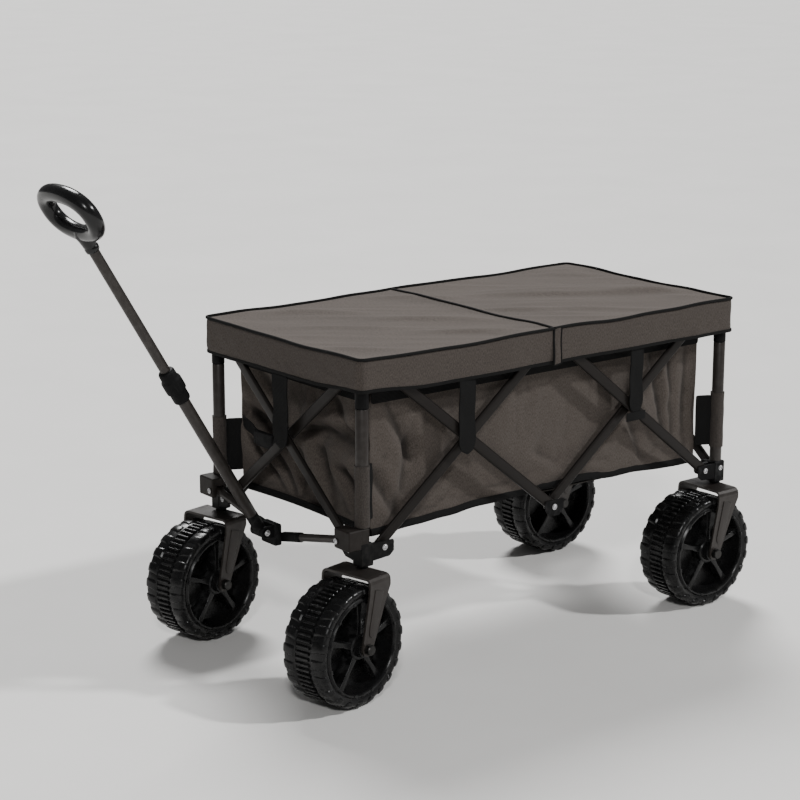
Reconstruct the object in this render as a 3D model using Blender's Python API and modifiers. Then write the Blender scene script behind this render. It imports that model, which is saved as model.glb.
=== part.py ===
"""Folding camp wagon with a two-panel soft cover, quad-fold scissor frame and telescoping handle.

+Z is up, the handle points along -Y and the wagon's right side is +X. Lengths are in metres.
"""

import math

import bmesh
import bpy
from mathutils import Matrix, Vector

# Frame
MID_Y = 0.193  # the basket's middle, so that the origin lies under the middle of the whole wagon
POST_X = 0.212
POST_Y = 0.418
POST_R = 0.011
POST_BORE_R = 0.0093
POST_TOP = 0.495
INNER_POST_R = 0.009
INNER_POST_BOTTOM = 0.330
END_PIVOT_X = 0.190
SIDE_PIVOT_Y = 0.380
LOW_Z = 0.254
HIGH_Z = 0.560

# Scissor arms lie in two planes, one behind the other
SIDE_PLANE = {"outer": 0.218, "inner": 0.206}
END_PLANE = {"outer": 0.424, "inner": 0.412}
ARM_R = 0.010
ARM_T = 0.008
PIN_R = 0.003
HOLE_R = 0.0034
HEAD_R = 0.0055
HEAD_T = 0.0024
GAP = 0.0003

# Wheels and forks
WHEEL_R = 0.105
WHEEL_HALF = 0.046
HUB_HALF = 0.049
AXLE_R = 0.005
FORK_HALF = 0.054
FORK_T = 0.004
FORK_TOP = 0.2225
TRAIL = 0.049
CASTER_YAW = math.radians(12)

# Yoke and handle
YOKE_Y = -0.439
YOKE_PIVOT = (0.190, 0.270)
YOKE_R = 0.007
HUB_PIVOT = (0.0135, 0.232)
HUB_SLOT = 0.0115
HANDLE_PIVOT = (0.0, -0.477, 0.247)
HANDLE_LEAN = math.radians(30.8)
COLLAR = (0.2954, 0.3586)
LOWER_TUBE_TOP = 0.345
UPPER_TUBE = (0.310, 0.640)
NECK = (0.6066, 0.645)
GRIP_AT = 0.6808
GRIP_HALF = (0.067, 0.0395)
GRIP_R = 0.0142

# Soft goods
COVER_HALF_X = 0.2295
COVER_HALF_Y = 0.433
COVER_TOP = 0.580
SKIRT_BOTTOM = 0.517
SEAM_Y = -0.014
WALL_X = 0.1955
WALL_FRONT = -0.390
WALL_REAR = 0.388
WALL_Z = (0.270, 0.515)
CLOTH_T = 0.003
SKIRT_T = 0.002

MATERIALS = {
    "frame_paint": ((0.075, 0.068, 0.062), 0.45, 0.42),
    "bracket_black": ((0.020, 0.020, 0.021), 0.0, 0.45),
    "wheel_black": ((0.014, 0.014, 0.015), 0.0, 0.30),
    "bolt_steel": ((0.45, 0.45, 0.46), 1.0, 0.30),
    "cover_cloth": ((0.115, 0.100, 0.088), 0.0, 0.92),
    "basket_cloth": ((0.060, 0.052, 0.047), 0.0, 0.92),
    "webbing_black": ((0.015, 0.015, 0.015), 0.0, 0.85),
    "mat_cloth": ((0.040, 0.036, 0.034), 0.0, 0.95),
}

SIDES = ((1, "right"), (-1, "left"))
ENDS = ((1, "rear"), (-1, "front"))


def clear_scene():
    for obj in list(bpy.data.objects):
        bpy.data.objects.remove(obj, do_unlink=True)


def make_materials():
    made = {}
    for name, (colour, metallic, roughness) in MATERIALS.items():
        material = bpy.data.materials.new(name)
        material.use_nodes = True
        shader = material.node_tree.nodes["Principled BSDF"]
        shader.inputs["Base Color"].default_value = (*colour, 1)
        shader.inputs["Metallic"].default_value = metallic
        shader.inputs["Roughness"].default_value = roughness
        made[name] = material
    return made


def at(x, y, z):
    return Vector((x, MID_Y + y, z))


def seat(origin, along, normal):
    """A frame with its x axis along, its z axis normal, at origin."""
    x_axis = Vector(along).normalized()
    z_axis = Vector(normal).normalized()
    y_axis = z_axis.cross(x_axis)
    rotation = Matrix((x_axis, y_axis, z_axis)).transposed().to_4x4()
    return Matrix.Translation(origin) @ rotation


def bake(obj):
    """Apply the modifiers of an object, or turn a curve into a mesh, in a new mesh object."""
    bpy.context.view_layer.update()
    graph = bpy.context.evaluated_depsgraph_get()
    mesh = bpy.data.meshes.new_from_object(obj.evaluated_get(graph))
    made = bpy.data.objects.new(obj.name, mesh)
    made.matrix_world = obj.matrix_world.copy()
    bpy.data.objects.remove(obj, do_unlink=True)
    bpy.context.scene.collection.objects.link(made)
    settle(made)
    return made


def settle(obj):
    """Weld doubled points, turn every face outwards, and write the placement into the mesh."""
    mesh = obj.data
    mesh.transform(obj.matrix_world)
    obj.matrix_world = Matrix.Identity(4)
    work = bmesh.new()
    work.from_mesh(mesh)
    bmesh.ops.remove_doubles(work, verts=work.verts, dist=0.00001)
    bmesh.ops.recalc_face_normals(work, faces=work.faces)
    work.to_mesh(mesh)
    work.free()


def linked(name, data, matrix=None):
    obj = bpy.data.objects.new(name, data)
    bpy.context.scene.collection.objects.link(obj)
    if matrix is not None:
        obj.matrix_world = matrix
    return obj


def circle(x, y, radius, steps=12):
    turn = 2 * math.pi / steps
    return [(x + radius * math.cos(turn * i), y + radius * math.sin(turn * i)) for i in range(steps)]


def arc(x, y, radius, start, stop, steps):
    points = []
    for i in range(steps + 1):
        angle = math.radians(start + (stop - start) * i / steps)
        points.append((x + radius * math.cos(angle), y + radius * math.sin(angle)))
    return points


def capsule(length, radius, steps=6, offset=0.0):
    return arc(offset + length, 0, radius, -90, 90, steps) + arc(offset, 0, radius, 90, 270, steps)


def plate(loops, thickness, matrix, chamfer=0.0):
    """Closed outlines in a plane, filled and given a thickness centred on the plane."""
    curve = bpy.data.curves.new("outline", "CURVE")
    curve.dimensions = "2D"
    curve.fill_mode = "BOTH"
    curve.extrude = thickness / 2 - chamfer
    curve.bevel_depth = chamfer
    curve.bevel_resolution = 0
    curve.offset = -chamfer
    for loop in loops:
        spline = curve.splines.new("POLY")
        spline.points.add(len(loop) - 1)
        for point, (x, y) in zip(spline.points, loop):
            point.co = (x, y, 0, 1)
        spline.use_cyclic_u = True
    return bake(linked("outline", curve, matrix))


def box(low, high, chamfer=0.0, segments=1):
    """A block between two corners in the wagon's frame."""
    corners = [sorted(pair) for pair in zip(low, high)]
    bpy.ops.mesh.primitive_cube_add(size=1)
    obj = bpy.context.active_object
    size = [b - a for a, b in corners]
    middle = [(a + b) / 2 for a, b in corners]
    obj.data.transform(Matrix.Diagonal((*size, 1)))
    obj.location = at(*middle)
    if chamfer:
        bevel = obj.modifiers.new("bevel", "BEVEL")
        bevel.width = chamfer
        bevel.segments = segments
        bevel.limit_method = "ANGLE"
    return bake(obj)


def lathe(profile, matrix, steps=16, ring=False):
    """A profile of (radius, height) pairs turned about the frame's z axis."""
    mesh = bpy.data.meshes.new("profile")
    edges = [(i, i + 1) for i in range(len(profile) - 1)]
    if ring:
        edges.append((len(profile) - 1, 0))
    mesh.from_pydata([(r, 0, h) for r, h in profile], edges, [])
    obj = linked("profile", mesh, matrix)
    turn = obj.modifiers.new("turn", "SCREW")
    turn.angle = 2 * math.pi
    turn.steps = steps
    turn.render_steps = steps
    turn.use_merge_vertices = True
    turn.merge_threshold = 0.00001
    return bake(obj)


def combine(base, other, operation="UNION"):
    step = base.modifiers.new("combine", "BOOLEAN")
    step.operation = operation
    step.solver = "EXACT"
    step.object = other
    made = bake(base)
    bpy.data.objects.remove(other, do_unlink=True)
    return made


def pin_shape(low, high, low_head, high_head):
    """The profile of a pin from low to high along its own axis, with a head at either end."""
    points = [(0, high)]
    if high_head:
        points += [(HEAD_R - 0.001, high), (HEAD_R, high - 0.001), (HEAD_R, high - HEAD_T)]
        points += [(PIN_R, high - HEAD_T)]
    else:
        points += [(PIN_R, high)]
    if low_head:
        points += [(PIN_R, low + HEAD_T), (HEAD_R, low + HEAD_T), (HEAD_R, low + 0.001)]
        points += [(HEAD_R - 0.001, low)]
    else:
        points += [(PIN_R, low)]
    return points + [(0, low)]


def across(axis):
    """A direction square to an axis and a little off the vertical, so no facet lines up with a face."""
    if axis[2]:
        return (1, 0.11, 0)
    return (0, 0.11, 1) if axis[0] else (0.11, 0, 1)


def pin(centre, axis, low, high, low_head=False, high_head=False):
    """A round pin parallel to axis. low and high are distances from centre along it."""
    return lathe(pin_shape(low, high, low_head, high_head), seat(centre, across(axis), axis), 12)


def bore(centre, axis, radius, low, high, steps=12):
    profile = [(0, high), (radius, high), (radius, low), (0, low)]
    return lathe(profile, seat(centre, across(axis), axis), steps)


class Wagon:
    """Collects the finished pieces."""

    def __init__(self):
        self.materials = make_materials()
        self.collection = bpy.data.collections.new("folding_camp_wagon")
        bpy.context.scene.collection.children.link(self.collection)

    def keep(self, obj, name, material, origin):
        """Name a piece, give it its material, and put its origin on its joint axis."""
        obj.name = name
        obj.data.name = name
        obj.data.transform(Matrix.Translation(-origin))
        obj.location = origin
        obj.data.materials.clear()
        obj.data.materials.append(self.materials[material])
        for holder in list(obj.users_collection):
            holder.objects.unlink(obj)
        self.collection.objects.link(obj)


def ear(side, end, z, which, place):
    """One lug of a corner bracket, with the pin that carries a scissor arm."""
    if which == "side":
        plane = SIDE_PLANE[place]
        centre = at(side * plane, end * SIDE_PIVOT_Y, z)
        along = (0, end, 0)
        normal = (side, 0, 0)
        reach = POST_Y - SIDE_PIVOT_Y - 0.004
    else:
        plane = END_PLANE[place]
        centre = at(side * END_PIVOT_X, end * plane, z)
        along = (side, 0, 0)
        normal = (0, end, 0)
        reach = POST_X - END_PIVOT_X - 0.004
    lug = plate([capsule(reach, ARM_R)], ARM_T, seat(centre, along, normal), 0.0008)
    far = 0.012 + ARM_T / 2 + GAP + HEAD_T
    if place == "inner":
        stud = pin(centre, normal, 0, far, high_head=True)
    else:
        stud = pin(centre, normal, -far, 0, low_head=True)
    return combine(lug, stud)


def cheek(side, end, which):
    """The bracket's outer cheek beside a scissor arm's end."""
    top = 0.2600 if which == "end" and end < 0 else 0.2650
    if which == "side":
        start, toward, reach = at(side * 0.2234, end * 0.410, 0), (0, -end, 0), 0.049
        thickness = 0.0018
    else:
        start, toward, reach = at(side * 0.205, end * 0.4292, 0), (-side, 0, 0), 0.034
        thickness = 0.0016
    outline = [(0, 0.2345), (reach - 0.009, 0.2375), (reach, 0.2455), (reach, top - 0.002), (reach - 0.002, top)]
    outline.append((0, top))
    normal = Vector(toward).cross(Vector((0, 0, 1)))
    return plate([outline], thickness, seat(start, toward, normal))


def lower_bracket(side, end):
    body = box(
        (side * 0.2005, end * 0.404, 0.227), (side * 0.2252, end * 0.4305, 0.267), 0.002
    )
    body = combine(body, ear(side, end, LOW_Z, "side", "inner" if end > 0 else "outer"))
    body = combine(body, ear(side, end, LOW_Z, "end", "inner" if side > 0 else "outer"))
    body = combine(body, cheek(side, end, "side"))
    body = combine(body, cheek(side, end, "end"))
    foot = at(side * POST_X, end * POST_Y, 0)
    body = combine(body, bore(foot, (0, 0, 1), 0.010, 0.2235, 0.2290, 16))
    if end < 0:
        socket = box(
            (side * 0.1825, -0.4290, 0.258), (side * 0.2255, -0.4555, 0.293), 0.002
        )
        rear_block = box((side * 0.2007, -0.4125, 0.2584), (side * 0.2250, -0.4320, 0.2926), 0.001)
        socket = combine(socket, rear_block)
        slot = box((side * 0.170, -0.4315, 0.240), (side * 0.1985, -0.4465, 0.2785))
        socket = combine(socket, slot, "DIFFERENCE")
        centre = at(side * YOKE_PIVOT[0], 0, YOKE_PIVOT[1])
        socket = combine(socket, pin(centre, (0, -1, 0), 0.4298, 0.4573, high_head=True))
        body = combine(body, socket)
    return combine(body, bore(foot, (0, 0, 1), 0.0054, 0.20, 0.2372, 16), "DIFFERENCE")


def top_bracket(side, end):
    body = box(
        (side * 0.2005, end * 0.404, 0.5385), (side * 0.2245, end * 0.4295, 0.571), 0.002
    )
    body = combine(body, ear(side, end, HIGH_Z, "side", "outer" if end > 0 else "inner"))
    body = combine(body, ear(side, end, HIGH_Z, "end", "outer" if side > 0 else "inner"))
    foot = at(side * POST_X, end * POST_Y, 0)
    profile = [
        (0, 0.545),
        (0.0115, 0.545),
        (0.0115, 0.4965),
        (INNER_POST_R, 0.4965),
        (INNER_POST_R, INNER_POST_BOTTOM),
        (0, INNER_POST_BOTTOM),
    ]
    return combine(body, lathe(profile, Matrix.Translation(foot), 20))


def corners(wagon):
    for side, side_name in SIDES:
        for end, end_name in ENDS:
            tag = f"{end_name}_{side_name}"
            foot = at(side * POST_X, end * POST_Y, 0)
            low = at(side * END_PIVOT_X, end * SIDE_PIVOT_Y, LOW_Z)
            high = at(side * END_PIVOT_X, end * SIDE_PIVOT_Y, HIGH_Z)
            wagon.keep(lower_bracket(side, end), f"lower_bracket_{tag}", "bracket_black", low)
            wagon.keep(top_bracket(side, end), f"top_bracket_{tag}", "bracket_black", high)
            base = 0.2673 if end > 0 else 0.2933
            profile = [
                (POST_R, POST_TOP),
                (POST_R, base),
                (POST_BORE_R, base),
                (POST_BORE_R, POST_TOP),
            ]
            post = lathe(profile, Matrix.Translation(foot), 20, ring=True)
            wagon.keep(post, f"post_{tag}", "frame_paint", foot + Vector((0, 0, base)))
            wagon.keep(post_wrap(side, end), f"post_wrap_{tag}", "webbing_black", foot + Vector((0, 0, 0.294)))


def post_wrap(side, end):
    foot = at(side * POST_X, end * POST_Y, 0)
    outer, inner = POST_R + 0.003, POST_R + GAP
    profile = [(outer, 0.3995), (outer, 0.2940), (inner, 0.2940), (inner, 0.3995)]
    sleeve = lathe(profile, Matrix.Translation(foot), 20, ring=True)
    toward = Vector((-side * 0.0165, -end * 0.030, 0)).normalized()
    outline = [(0.0125, 0.300), (0.0305, 0.300), (0.0305, 0.392), (0.0125, 0.392)]
    normal = toward.cross(Vector((0, 0, 1)))
    tab = plate([outline], 0.002, seat(foot, toward, normal))
    return combine(sleeve, tab)


def arm(start, end, normal, place):
    """A scissor arm between two pivots. The outer arm carries the pin where the two cross."""
    line = end - start
    length = line.length
    body = plate([capsule(length, ARM_R, 7)], ARM_T, seat(start, line, normal), 0.0012)
    holes = (0, 0.5, 1) if place == "inner" else (0, 1)
    for share in holes:
        body = combine(body, bore(start + line * share, normal, HOLE_R, -0.01, 0.01), "DIFFERENCE")
    if place == "outer":
        near = ARM_T / 2 - 0.0002 + HEAD_T
        far = 0.012 + ARM_T / 2 + GAP + HEAD_T
        body = combine(body, pin((start + end) / 2, normal, -far, near, True, True))
    return body


def scissors(wagon):
    for side, side_name in SIDES:
        outer, inner = side * SIDE_PLANE["outer"], side * SIDE_PLANE["inner"]
        plans = (
            ("rear_a", outer, "outer", (SIDE_PIVOT_Y, LOW_Z), (0, HIGH_Z)),
            ("rear_b", inner, "inner", (0, LOW_Z), (SIDE_PIVOT_Y, HIGH_Z)),
            ("front_a", inner, "inner", (-SIDE_PIVOT_Y, LOW_Z), (0, HIGH_Z)),
            ("front_b", outer, "outer", (0, LOW_Z), (-SIDE_PIVOT_Y, HIGH_Z)),
        )
        for name, x, place, first, second in plans:
            start, end = at(x, *first), at(x, *second)
            body = arm(start, end, (side, 0, 0), place)
            hinge = start if name in ("rear_a", "front_a") else (start + end) / 2
            if name == "front_a":
                hinge = end
            wagon.keep(body, f"arm_{side_name}_{name}", "frame_paint", hinge)
        for z, level in ((LOW_Z, "lower"), (HIGH_Z, "upper")):
            wagon.keep(mid_joint(side, z), f"mid_joint_{side_name}_{level}", "bracket_black", at(side * 0.212, 0, z))
    for end, end_name in ENDS:
        outer, inner = end * END_PLANE["outer"], end * END_PLANE["inner"]
        right_low, left_high = at(END_PIVOT_X, outer, LOW_Z), at(-END_PIVOT_X, outer, HIGH_Z)
        body = arm(right_low, left_high, (0, end, 0), "outer")
        wagon.keep(body, f"arm_{end_name}_a", "frame_paint", right_low)
        left_low, right_high = at(-END_PIVOT_X, inner, LOW_Z), at(END_PIVOT_X, inner, HIGH_Z)
        body = arm(left_low, right_high, (0, end, 0), "inner")
        wagon.keep(body, f"arm_{end_name}_b", "frame_paint", (left_low + right_high) / 2)


def mid_joint(side, z):
    """A pin through both arms at a side's middle, with a spacer between them."""
    centre = at(side * 0.212, 0, z)
    spacer = 0.002 - GAP
    tip = 0.002 + ARM_T + GAP + HEAD_T
    profile = [
        (0, tip),
        (HEAD_R - 0.001, tip),
        (HEAD_R, tip - 0.001),
        (HEAD_R, tip - HEAD_T),
        (PIN_R, tip - HEAD_T),
        (PIN_R, spacer),
        (0.009, spacer),
    ]
    mirrored = [(r, -h) for r, h in reversed(profile)]
    body = lathe(profile + mirrored, seat(centre, (0, 0, 1), (side, 0, 0)), 12)
    low = 0.0165 if z < 0.4 else 0.0125
    outline = [(-0.0215, 0.0125), (-0.0215, -0.003), (-0.012, -low), (0.012, -low), (0.0215, -0.003)]
    outline.append((0.0215, 0.0125))
    middle = at(side * 0.2234, 0, z)
    return combine(body, plate([outline], 0.0018, seat(middle, (0, side, 0), (side, 0, 0))))


def fork(matrix):
    """A bent steel fork: a U section cut to a tapering side outline, with its swivel stem."""
    top, low, outer, inner = FORK_TOP, 0.088, FORK_HALF, FORK_HALF - FORK_T
    bend, inner_bend = 0.010, 0.006
    section = [(-outer, low)]
    section += arc(-outer + bend, top - bend, bend, 180, 90, 3)
    section += arc(outer - bend, top - bend, bend, 90, 0, 3)
    section += [(outer, low), (inner, low)]
    section += arc(inner - inner_bend, top - FORK_T - inner_bend, inner_bend, 0, 90, 3)
    section += arc(inner_bend - inner, top - FORK_T - inner_bend, inner_bend, 90, 180, 3)
    section += [(-inner, low)]
    middle = -0.027
    body = plate([section], 0.080, seat(Vector((0, middle, 0)), (1, 0, 0), (0, -1, 0)))
    side = [(0.009, 0.230), (-0.0405, 0.230), (-0.0430, 0.196)]
    side += arc(-TRAIL, WHEEL_R, 0.013, 160, 350, 8)
    side += [(-0.0030, 0.180), (0.009, 0.204)]
    cutter = plate([side], 0.140, seat(Vector((0, 0, 0)), (0, 1, 0), (1, 0, 0)))
    body = combine(body, cutter, "INTERSECT")
    body = combine(body, bore(Vector((0, 0, 0)), (0, 0, 1), 0.005, 0.2205, 0.2365, 16))
    axle_at = Vector((0, -TRAIL, WHEEL_R))
    body = combine(body, bore(axle_at, (1, 0, 0), 0.0054, -0.07, 0.07, 16), "DIFFERENCE")
    body.matrix_world = matrix
    settle(body)
    return body


def wheel(matrix):
    """A moulded wheel: a turned tyre and dished web, with five spokes across both dishes."""
    half = [
        (0.0055, HUB_HALF),
        (0.016, HUB_HALF),
        (0.018, 0.045),
        (0.021, 0.026),
        (0.074, 0.022),
        (0.0795, 0.041),
        (0.086, 0.0445),
        (0.092, WHEEL_HALF),
        (0.100, 0.0455),
        (WHEEL_R - 0.001, 0.040),
        (WHEEL_R, 0.034),
    ]
    profile = half + [(r, -h) for r, h in reversed(half)]
    hub = Vector((0, -TRAIL, WHEEL_R))
    body = lathe(profile, seat(hub, (0, 0, 1), (1, 0, 0)), 32, ring=True)
    star = []
    for i in range(5):
        turn = math.radians(90 + 72 * i)
        for radius, swing in ((0.0170, -36.0), (0.0815, -4.0), (0.0815, 4.0)):
            angle = turn + math.radians(swing)
            star.append((radius * math.cos(angle), radius * math.sin(angle)))
    spokes = plate([star, circle(0, 0, 0.010)], 0.070, seat(hub, (0, 1, 0), (1, 0, 0)))
    body = combine(body, spokes)
    body.matrix_world = matrix
    settle(body)
    return body


def axle(matrix):
    head, tip = FORK_HALF + GAP, 0.0635
    half = [(0, tip), (0.008, tip), (0.009, tip - 0.0015), (0.009, head), (AXLE_R, head)]
    profile = half + [(r, -h) for r, h in reversed(half)]
    body = lathe(profile, seat(Vector((0, -TRAIL, WHEEL_R)), (0, 0, 1), (1, 0, 0)), 16)
    body.matrix_world = matrix
    settle(body)
    return body


def running_gear(wagon):
    for side, side_name in SIDES:
        for end, end_name in ENDS:
            tag = f"{end_name}_{side_name}"
            yaw = CASTER_YAW if end < 0 else 0.0
            foot = at(side * POST_X, end * POST_Y, 0)
            matrix = Matrix.Translation(foot) @ Matrix.Rotation(yaw, 4, "Z")
            hub = matrix @ Vector((0, -TRAIL, WHEEL_R))
            wagon.keep(fork(matrix), f"fork_{tag}", "frame_paint", foot + Vector((0, 0, FORK_TOP)))
            wagon.keep(wheel(matrix), f"wheel_{tag}", "wheel_black", hub)
            wagon.keep(axle(matrix), f"axle_{tag}", "bolt_steel", hub)


def yoke(wagon):
    for side, side_name in SIDES:
        start = at(side * YOKE_PIVOT[0], YOKE_Y, YOKE_PIVOT[1])
        end = at(side * HUB_PIVOT[0], YOKE_Y, HUB_PIVOT[1])
        line = end - start
        frame = seat(start, line, (0, -1, 0))
        body = plate([capsule(line.length, YOKE_R, 7)], 0.0135, frame, 0.0025)
        body = combine(body, bore(start, (0, -1, 0), HOLE_R, -0.01, 0.01), "DIFFERENCE")
        if side > 0:
            body = combine(body, bore(end, (0, -1, 0), HOLE_R, -0.01, 0.01), "DIFFERENCE")
        else:
            body = combine(body, pin(end, (0, -1, 0), 0, 0.0185))
        wagon.keep(body, f"yoke_arm_{side_name}", "frame_paint", start)
    hub = box((-0.022, -0.4475, 0.220), (0.022, -0.4620, 0.2585), 0.003, 2)
    _, pivot_y, pivot_z = HANDLE_PIVOT
    for side, _ in SIDES:
        centre = at(side * 0.015, pivot_y, pivot_z)
        cheek = plate([capsule(0.0135, 0.0105)], 0.007, seat(centre, (0, 1, -0.1), (side, 0, 0)), 0.001)
        hub = combine(hub, cheek)
    slot_at = at(-HUB_PIVOT[0], -0.4475, HUB_PIVOT[1])
    slot = plate([capsule(HUB_SLOT, HOLE_R)], 0.023, seat(slot_at, (1, 0, 0), (0, 1, 0)))
    hub = combine(hub, slot, "DIFFERENCE")
    stud = pin(at(HUB_PIVOT[0], 0, HUB_PIVOT[1]), (0, -1, 0), 0.4295, 0.4550, low_head=True)
    hub = combine(hub, stud)
    hub = combine(hub, pin(at(*HANDLE_PIVOT), (1, 0, 0), -0.0207, 0.0207, True, True))
    origin = at(HUB_PIVOT[0], YOKE_Y, HUB_PIVOT[1])
    wagon.keep(hub, "handle_hub", "bracket_black", origin)


def handle(wagon):
    pivot = at(*HANDLE_PIVOT)
    up = Vector((0, -math.sin(HANDLE_LEAN), math.cos(HANDLE_LEAN)))
    frame = seat(pivot, (1, 0, 0), up)
    lower = [
        (0, 0.030),
        (0.0083, 0.030),
        (0.0083, LOWER_TUBE_TOP),
        (0.0098, LOWER_TUBE_TOP),
        (0.0098, 0.004),
        (0, 0.004),
    ]
    tube = lathe(lower, frame, 20)
    tube = combine(tube, bore(pivot, (1, 0, 0), 0.0105, -0.011, 0.011, 20))
    tube = combine(tube, bore(pivot, (1, 0, 0), HOLE_R, -0.03, 0.03), "DIFFERENCE")
    wagon.keep(tube, "handle_lower_tube", "frame_paint", pivot)
    low, high = COLLAR
    shoulder = LOWER_TUBE_TOP + 0.0005
    clamp = [
        (0.0125, low),
        (0.0150, low + 0.003),
        (0.0150, low + 0.020),
        (0.0175, low + 0.024),
        (0.0175, low + 0.044),
        (0.0150, low + 0.048),
        (0.0145, high - 0.003),
        (0.0120, high),
        (0.0083, high),
        (0.0083, shoulder),
        (0.0101, shoulder),
        (0.0101, low),
    ]
    wagon.keep(lathe(clamp, frame, 20, ring=True), "handle_collar", "bracket_black", pivot + up * low)
    bottom, top = UPPER_TUBE
    rod = lathe([(0, top), (0.008, top), (0.008, bottom), (0, bottom)], frame, 20)
    wagon.keep(rod, "handle_upper_tube", "frame_paint", pivot + up * bottom)
    wagon.keep(grip(pivot, up, frame), "handle_grip", "wheel_black", pivot + up * GRIP_AT)


def grip(pivot, up, frame):
    """An oval loop on a short neck."""
    bpy.ops.curve.primitive_bezier_circle_add(radius=1)
    loop = bpy.context.active_object
    loop.data.splines[0].resolution_u = 8
    loop.data.bevel_depth = GRIP_R
    loop.data.bevel_resolution = 3
    for point in loop.data.splines[0].bezier_points:
        for handle_point in ("co", "handle_left", "handle_right"):
            x, y, z = getattr(point, handle_point)
            setattr(point, handle_point, (x * GRIP_HALF[0], y * GRIP_HALF[1], z))
    loop.matrix_world = seat(pivot + up * GRIP_AT, (1, 0, 0), Vector((1, 0, 0)).cross(up))
    loop = bake(loop)
    low, high = NECK
    neck = [(0, high), (0.0115, high), (0.0125, low + 0.006), (0.0110, low), (0, low)]
    loop = combine(loop, lathe(neck, frame, 20))
    hole = lathe([(0, 0.6403), (0.0083, 0.6403), (0.0083, 0.59), (0, 0.59)], frame, 20)
    return combine(loop, hole, "DIFFERENCE")


def basket(wagon):
    low, high = WALL_Z
    for side, side_name in SIDES:
        wall = box((side * (WALL_X - CLOTH_T), WALL_FRONT, low), (side * WALL_X, WALL_REAR, high))
        wagon.keep(wall, f"basket_wall_{side_name}", "basket_cloth", at(side * WALL_X, 0, low))
    inner = WALL_X - CLOTH_T - 0.0005
    for outer, end, end_name in ((WALL_REAR, 1, "rear"), (WALL_FRONT, -1, "front")):
        wall = box((-inner, outer - end * CLOTH_T, low), (inner, outer, high))
        wagon.keep(wall, f"basket_wall_{end_name}", "basket_cloth", at(0, outer, low))
    rear = box((-0.1915, 0.0005, 0.271), (0.1915, WALL_REAR - CLOTH_T - 0.0005, 0.275))
    wagon.keep(rear, "floor_mat_rear", "mat_cloth", at(0, 0, 0.271))
    front = box((-0.1915, -0.0005, 0.276), (0.1915, WALL_FRONT + CLOTH_T + 0.0005, 0.280))
    wagon.keep(front, "floor_mat_front", "mat_cloth", at(0, 0, 0.276))


def cover(wagon):
    for end, end_name in ENDS:
        seam = SEAM_Y + end * 0.0005
        panel = box(
            (-COVER_HALF_X, seam, SKIRT_BOTTOM), (COVER_HALF_X, end * COVER_HALF_Y, COVER_TOP), 0.003, 2
        )
        trim = box((-0.3, seam, 0.4), (0.3, seam - end * 0.05, 0.7))
        panel = combine(panel, trim, "DIFFERENCE")
        inner_x, inner_y = COVER_HALF_X - SKIRT_T, COVER_HALF_Y - SKIRT_T
        hollow = box((-inner_x, seam - end * 0.05, 0.45), (inner_x, end * inner_y, COVER_TOP - 0.004))
        panel = combine(panel, hollow, "DIFFERENCE")
        wagon.keep(panel, f"cover_{end_name}", "cover_cloth", at(0, seam, COVER_TOP))


def build():
    clear_scene()
    wagon = Wagon()
    corners(wagon)
    scissors(wagon)
    running_gear(wagon)
    yoke(wagon)
    handle(wagon)
    basket(wagon)
    cover(wagon)


build()
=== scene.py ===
"""Folding camp wagon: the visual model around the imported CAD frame.

Lengths are in metres and places are in the wagon's own frame, which at() shifts to the row frame.
"""

import math

import bmesh
import bpy
from mathutils import Matrix, Vector, noise


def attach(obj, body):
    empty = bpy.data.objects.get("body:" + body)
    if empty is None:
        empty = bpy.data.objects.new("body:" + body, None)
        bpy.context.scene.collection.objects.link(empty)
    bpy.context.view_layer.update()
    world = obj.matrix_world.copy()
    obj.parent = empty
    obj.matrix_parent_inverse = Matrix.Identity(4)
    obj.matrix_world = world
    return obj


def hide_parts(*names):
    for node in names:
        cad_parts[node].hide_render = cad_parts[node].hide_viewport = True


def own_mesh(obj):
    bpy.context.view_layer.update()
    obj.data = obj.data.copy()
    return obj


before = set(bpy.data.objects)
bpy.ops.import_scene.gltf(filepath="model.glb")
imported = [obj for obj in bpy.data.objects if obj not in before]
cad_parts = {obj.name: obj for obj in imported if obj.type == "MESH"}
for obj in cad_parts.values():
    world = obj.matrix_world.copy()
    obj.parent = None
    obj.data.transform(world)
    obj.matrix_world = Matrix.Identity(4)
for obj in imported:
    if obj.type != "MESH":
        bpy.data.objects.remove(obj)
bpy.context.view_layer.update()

# the wagon's middle in the row frame, and from it the posts and the arms' pivots
MID_Y = 0.193
POST_X, POST_Y = 0.212, 0.418
PIVOT_X, PIVOT_Y = 0.19, 0.38
# heights of the arms' lower and upper pivots, and the planes in which the arms lie
LOW_Z, HIGH_Z = 0.254, 0.56
SIDE_PLANE = {"outer": 0.218, "inner": 0.206}
END_PLANE = {"outer": 0.424, "inner": 0.412}
# the front forks' swivel, each wheel's trail and radius, and how far out a fork's legs stand
YAW = math.radians(12)
TRAIL, WHEEL_R, LEG_X = 0.049, 0.105, 0.0545
# the yoke's plane, and the handle's pivot and lean from upright
YOKE_Y = -0.439
HANDLE_PIVOT = (0, -0.477, 0.247)
LEAN = math.radians(30.8)
SIDES = ((1, "right"), (-1, "left"))
ENDS = ((1, "rear"), (-1, "front"))
UP = Vector((0, 0, 1))


def at(x, y, z):
    return Vector((x, MID_Y + y, z))


def seat(origin, along, normal):
    x_axis, z_axis = Vector(along).normalized(), Vector(normal).normalized()
    rotation = Matrix((x_axis, z_axis.cross(x_axis), z_axis)).transposed().to_4x4()
    return Matrix.Translation(origin) @ rotation


# ---- materials

THREAD_PITCH, RIB_PITCH = 0.0016, 0.0022
# cloth that hangs is cut with its v from here on, clear of every other cut; canvas() gives such cloth
# painted shade
HANGING_V = 2.0
# a front bracket is painted ahead of SOCKET_Y above SOCKET_LOW, and anywhere above SOCKET_HIGH
SOCKET_Y, SOCKET_LOW, SOCKET_HIGH = MID_Y - 0.4303, 0.2579, 0.2672


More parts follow.
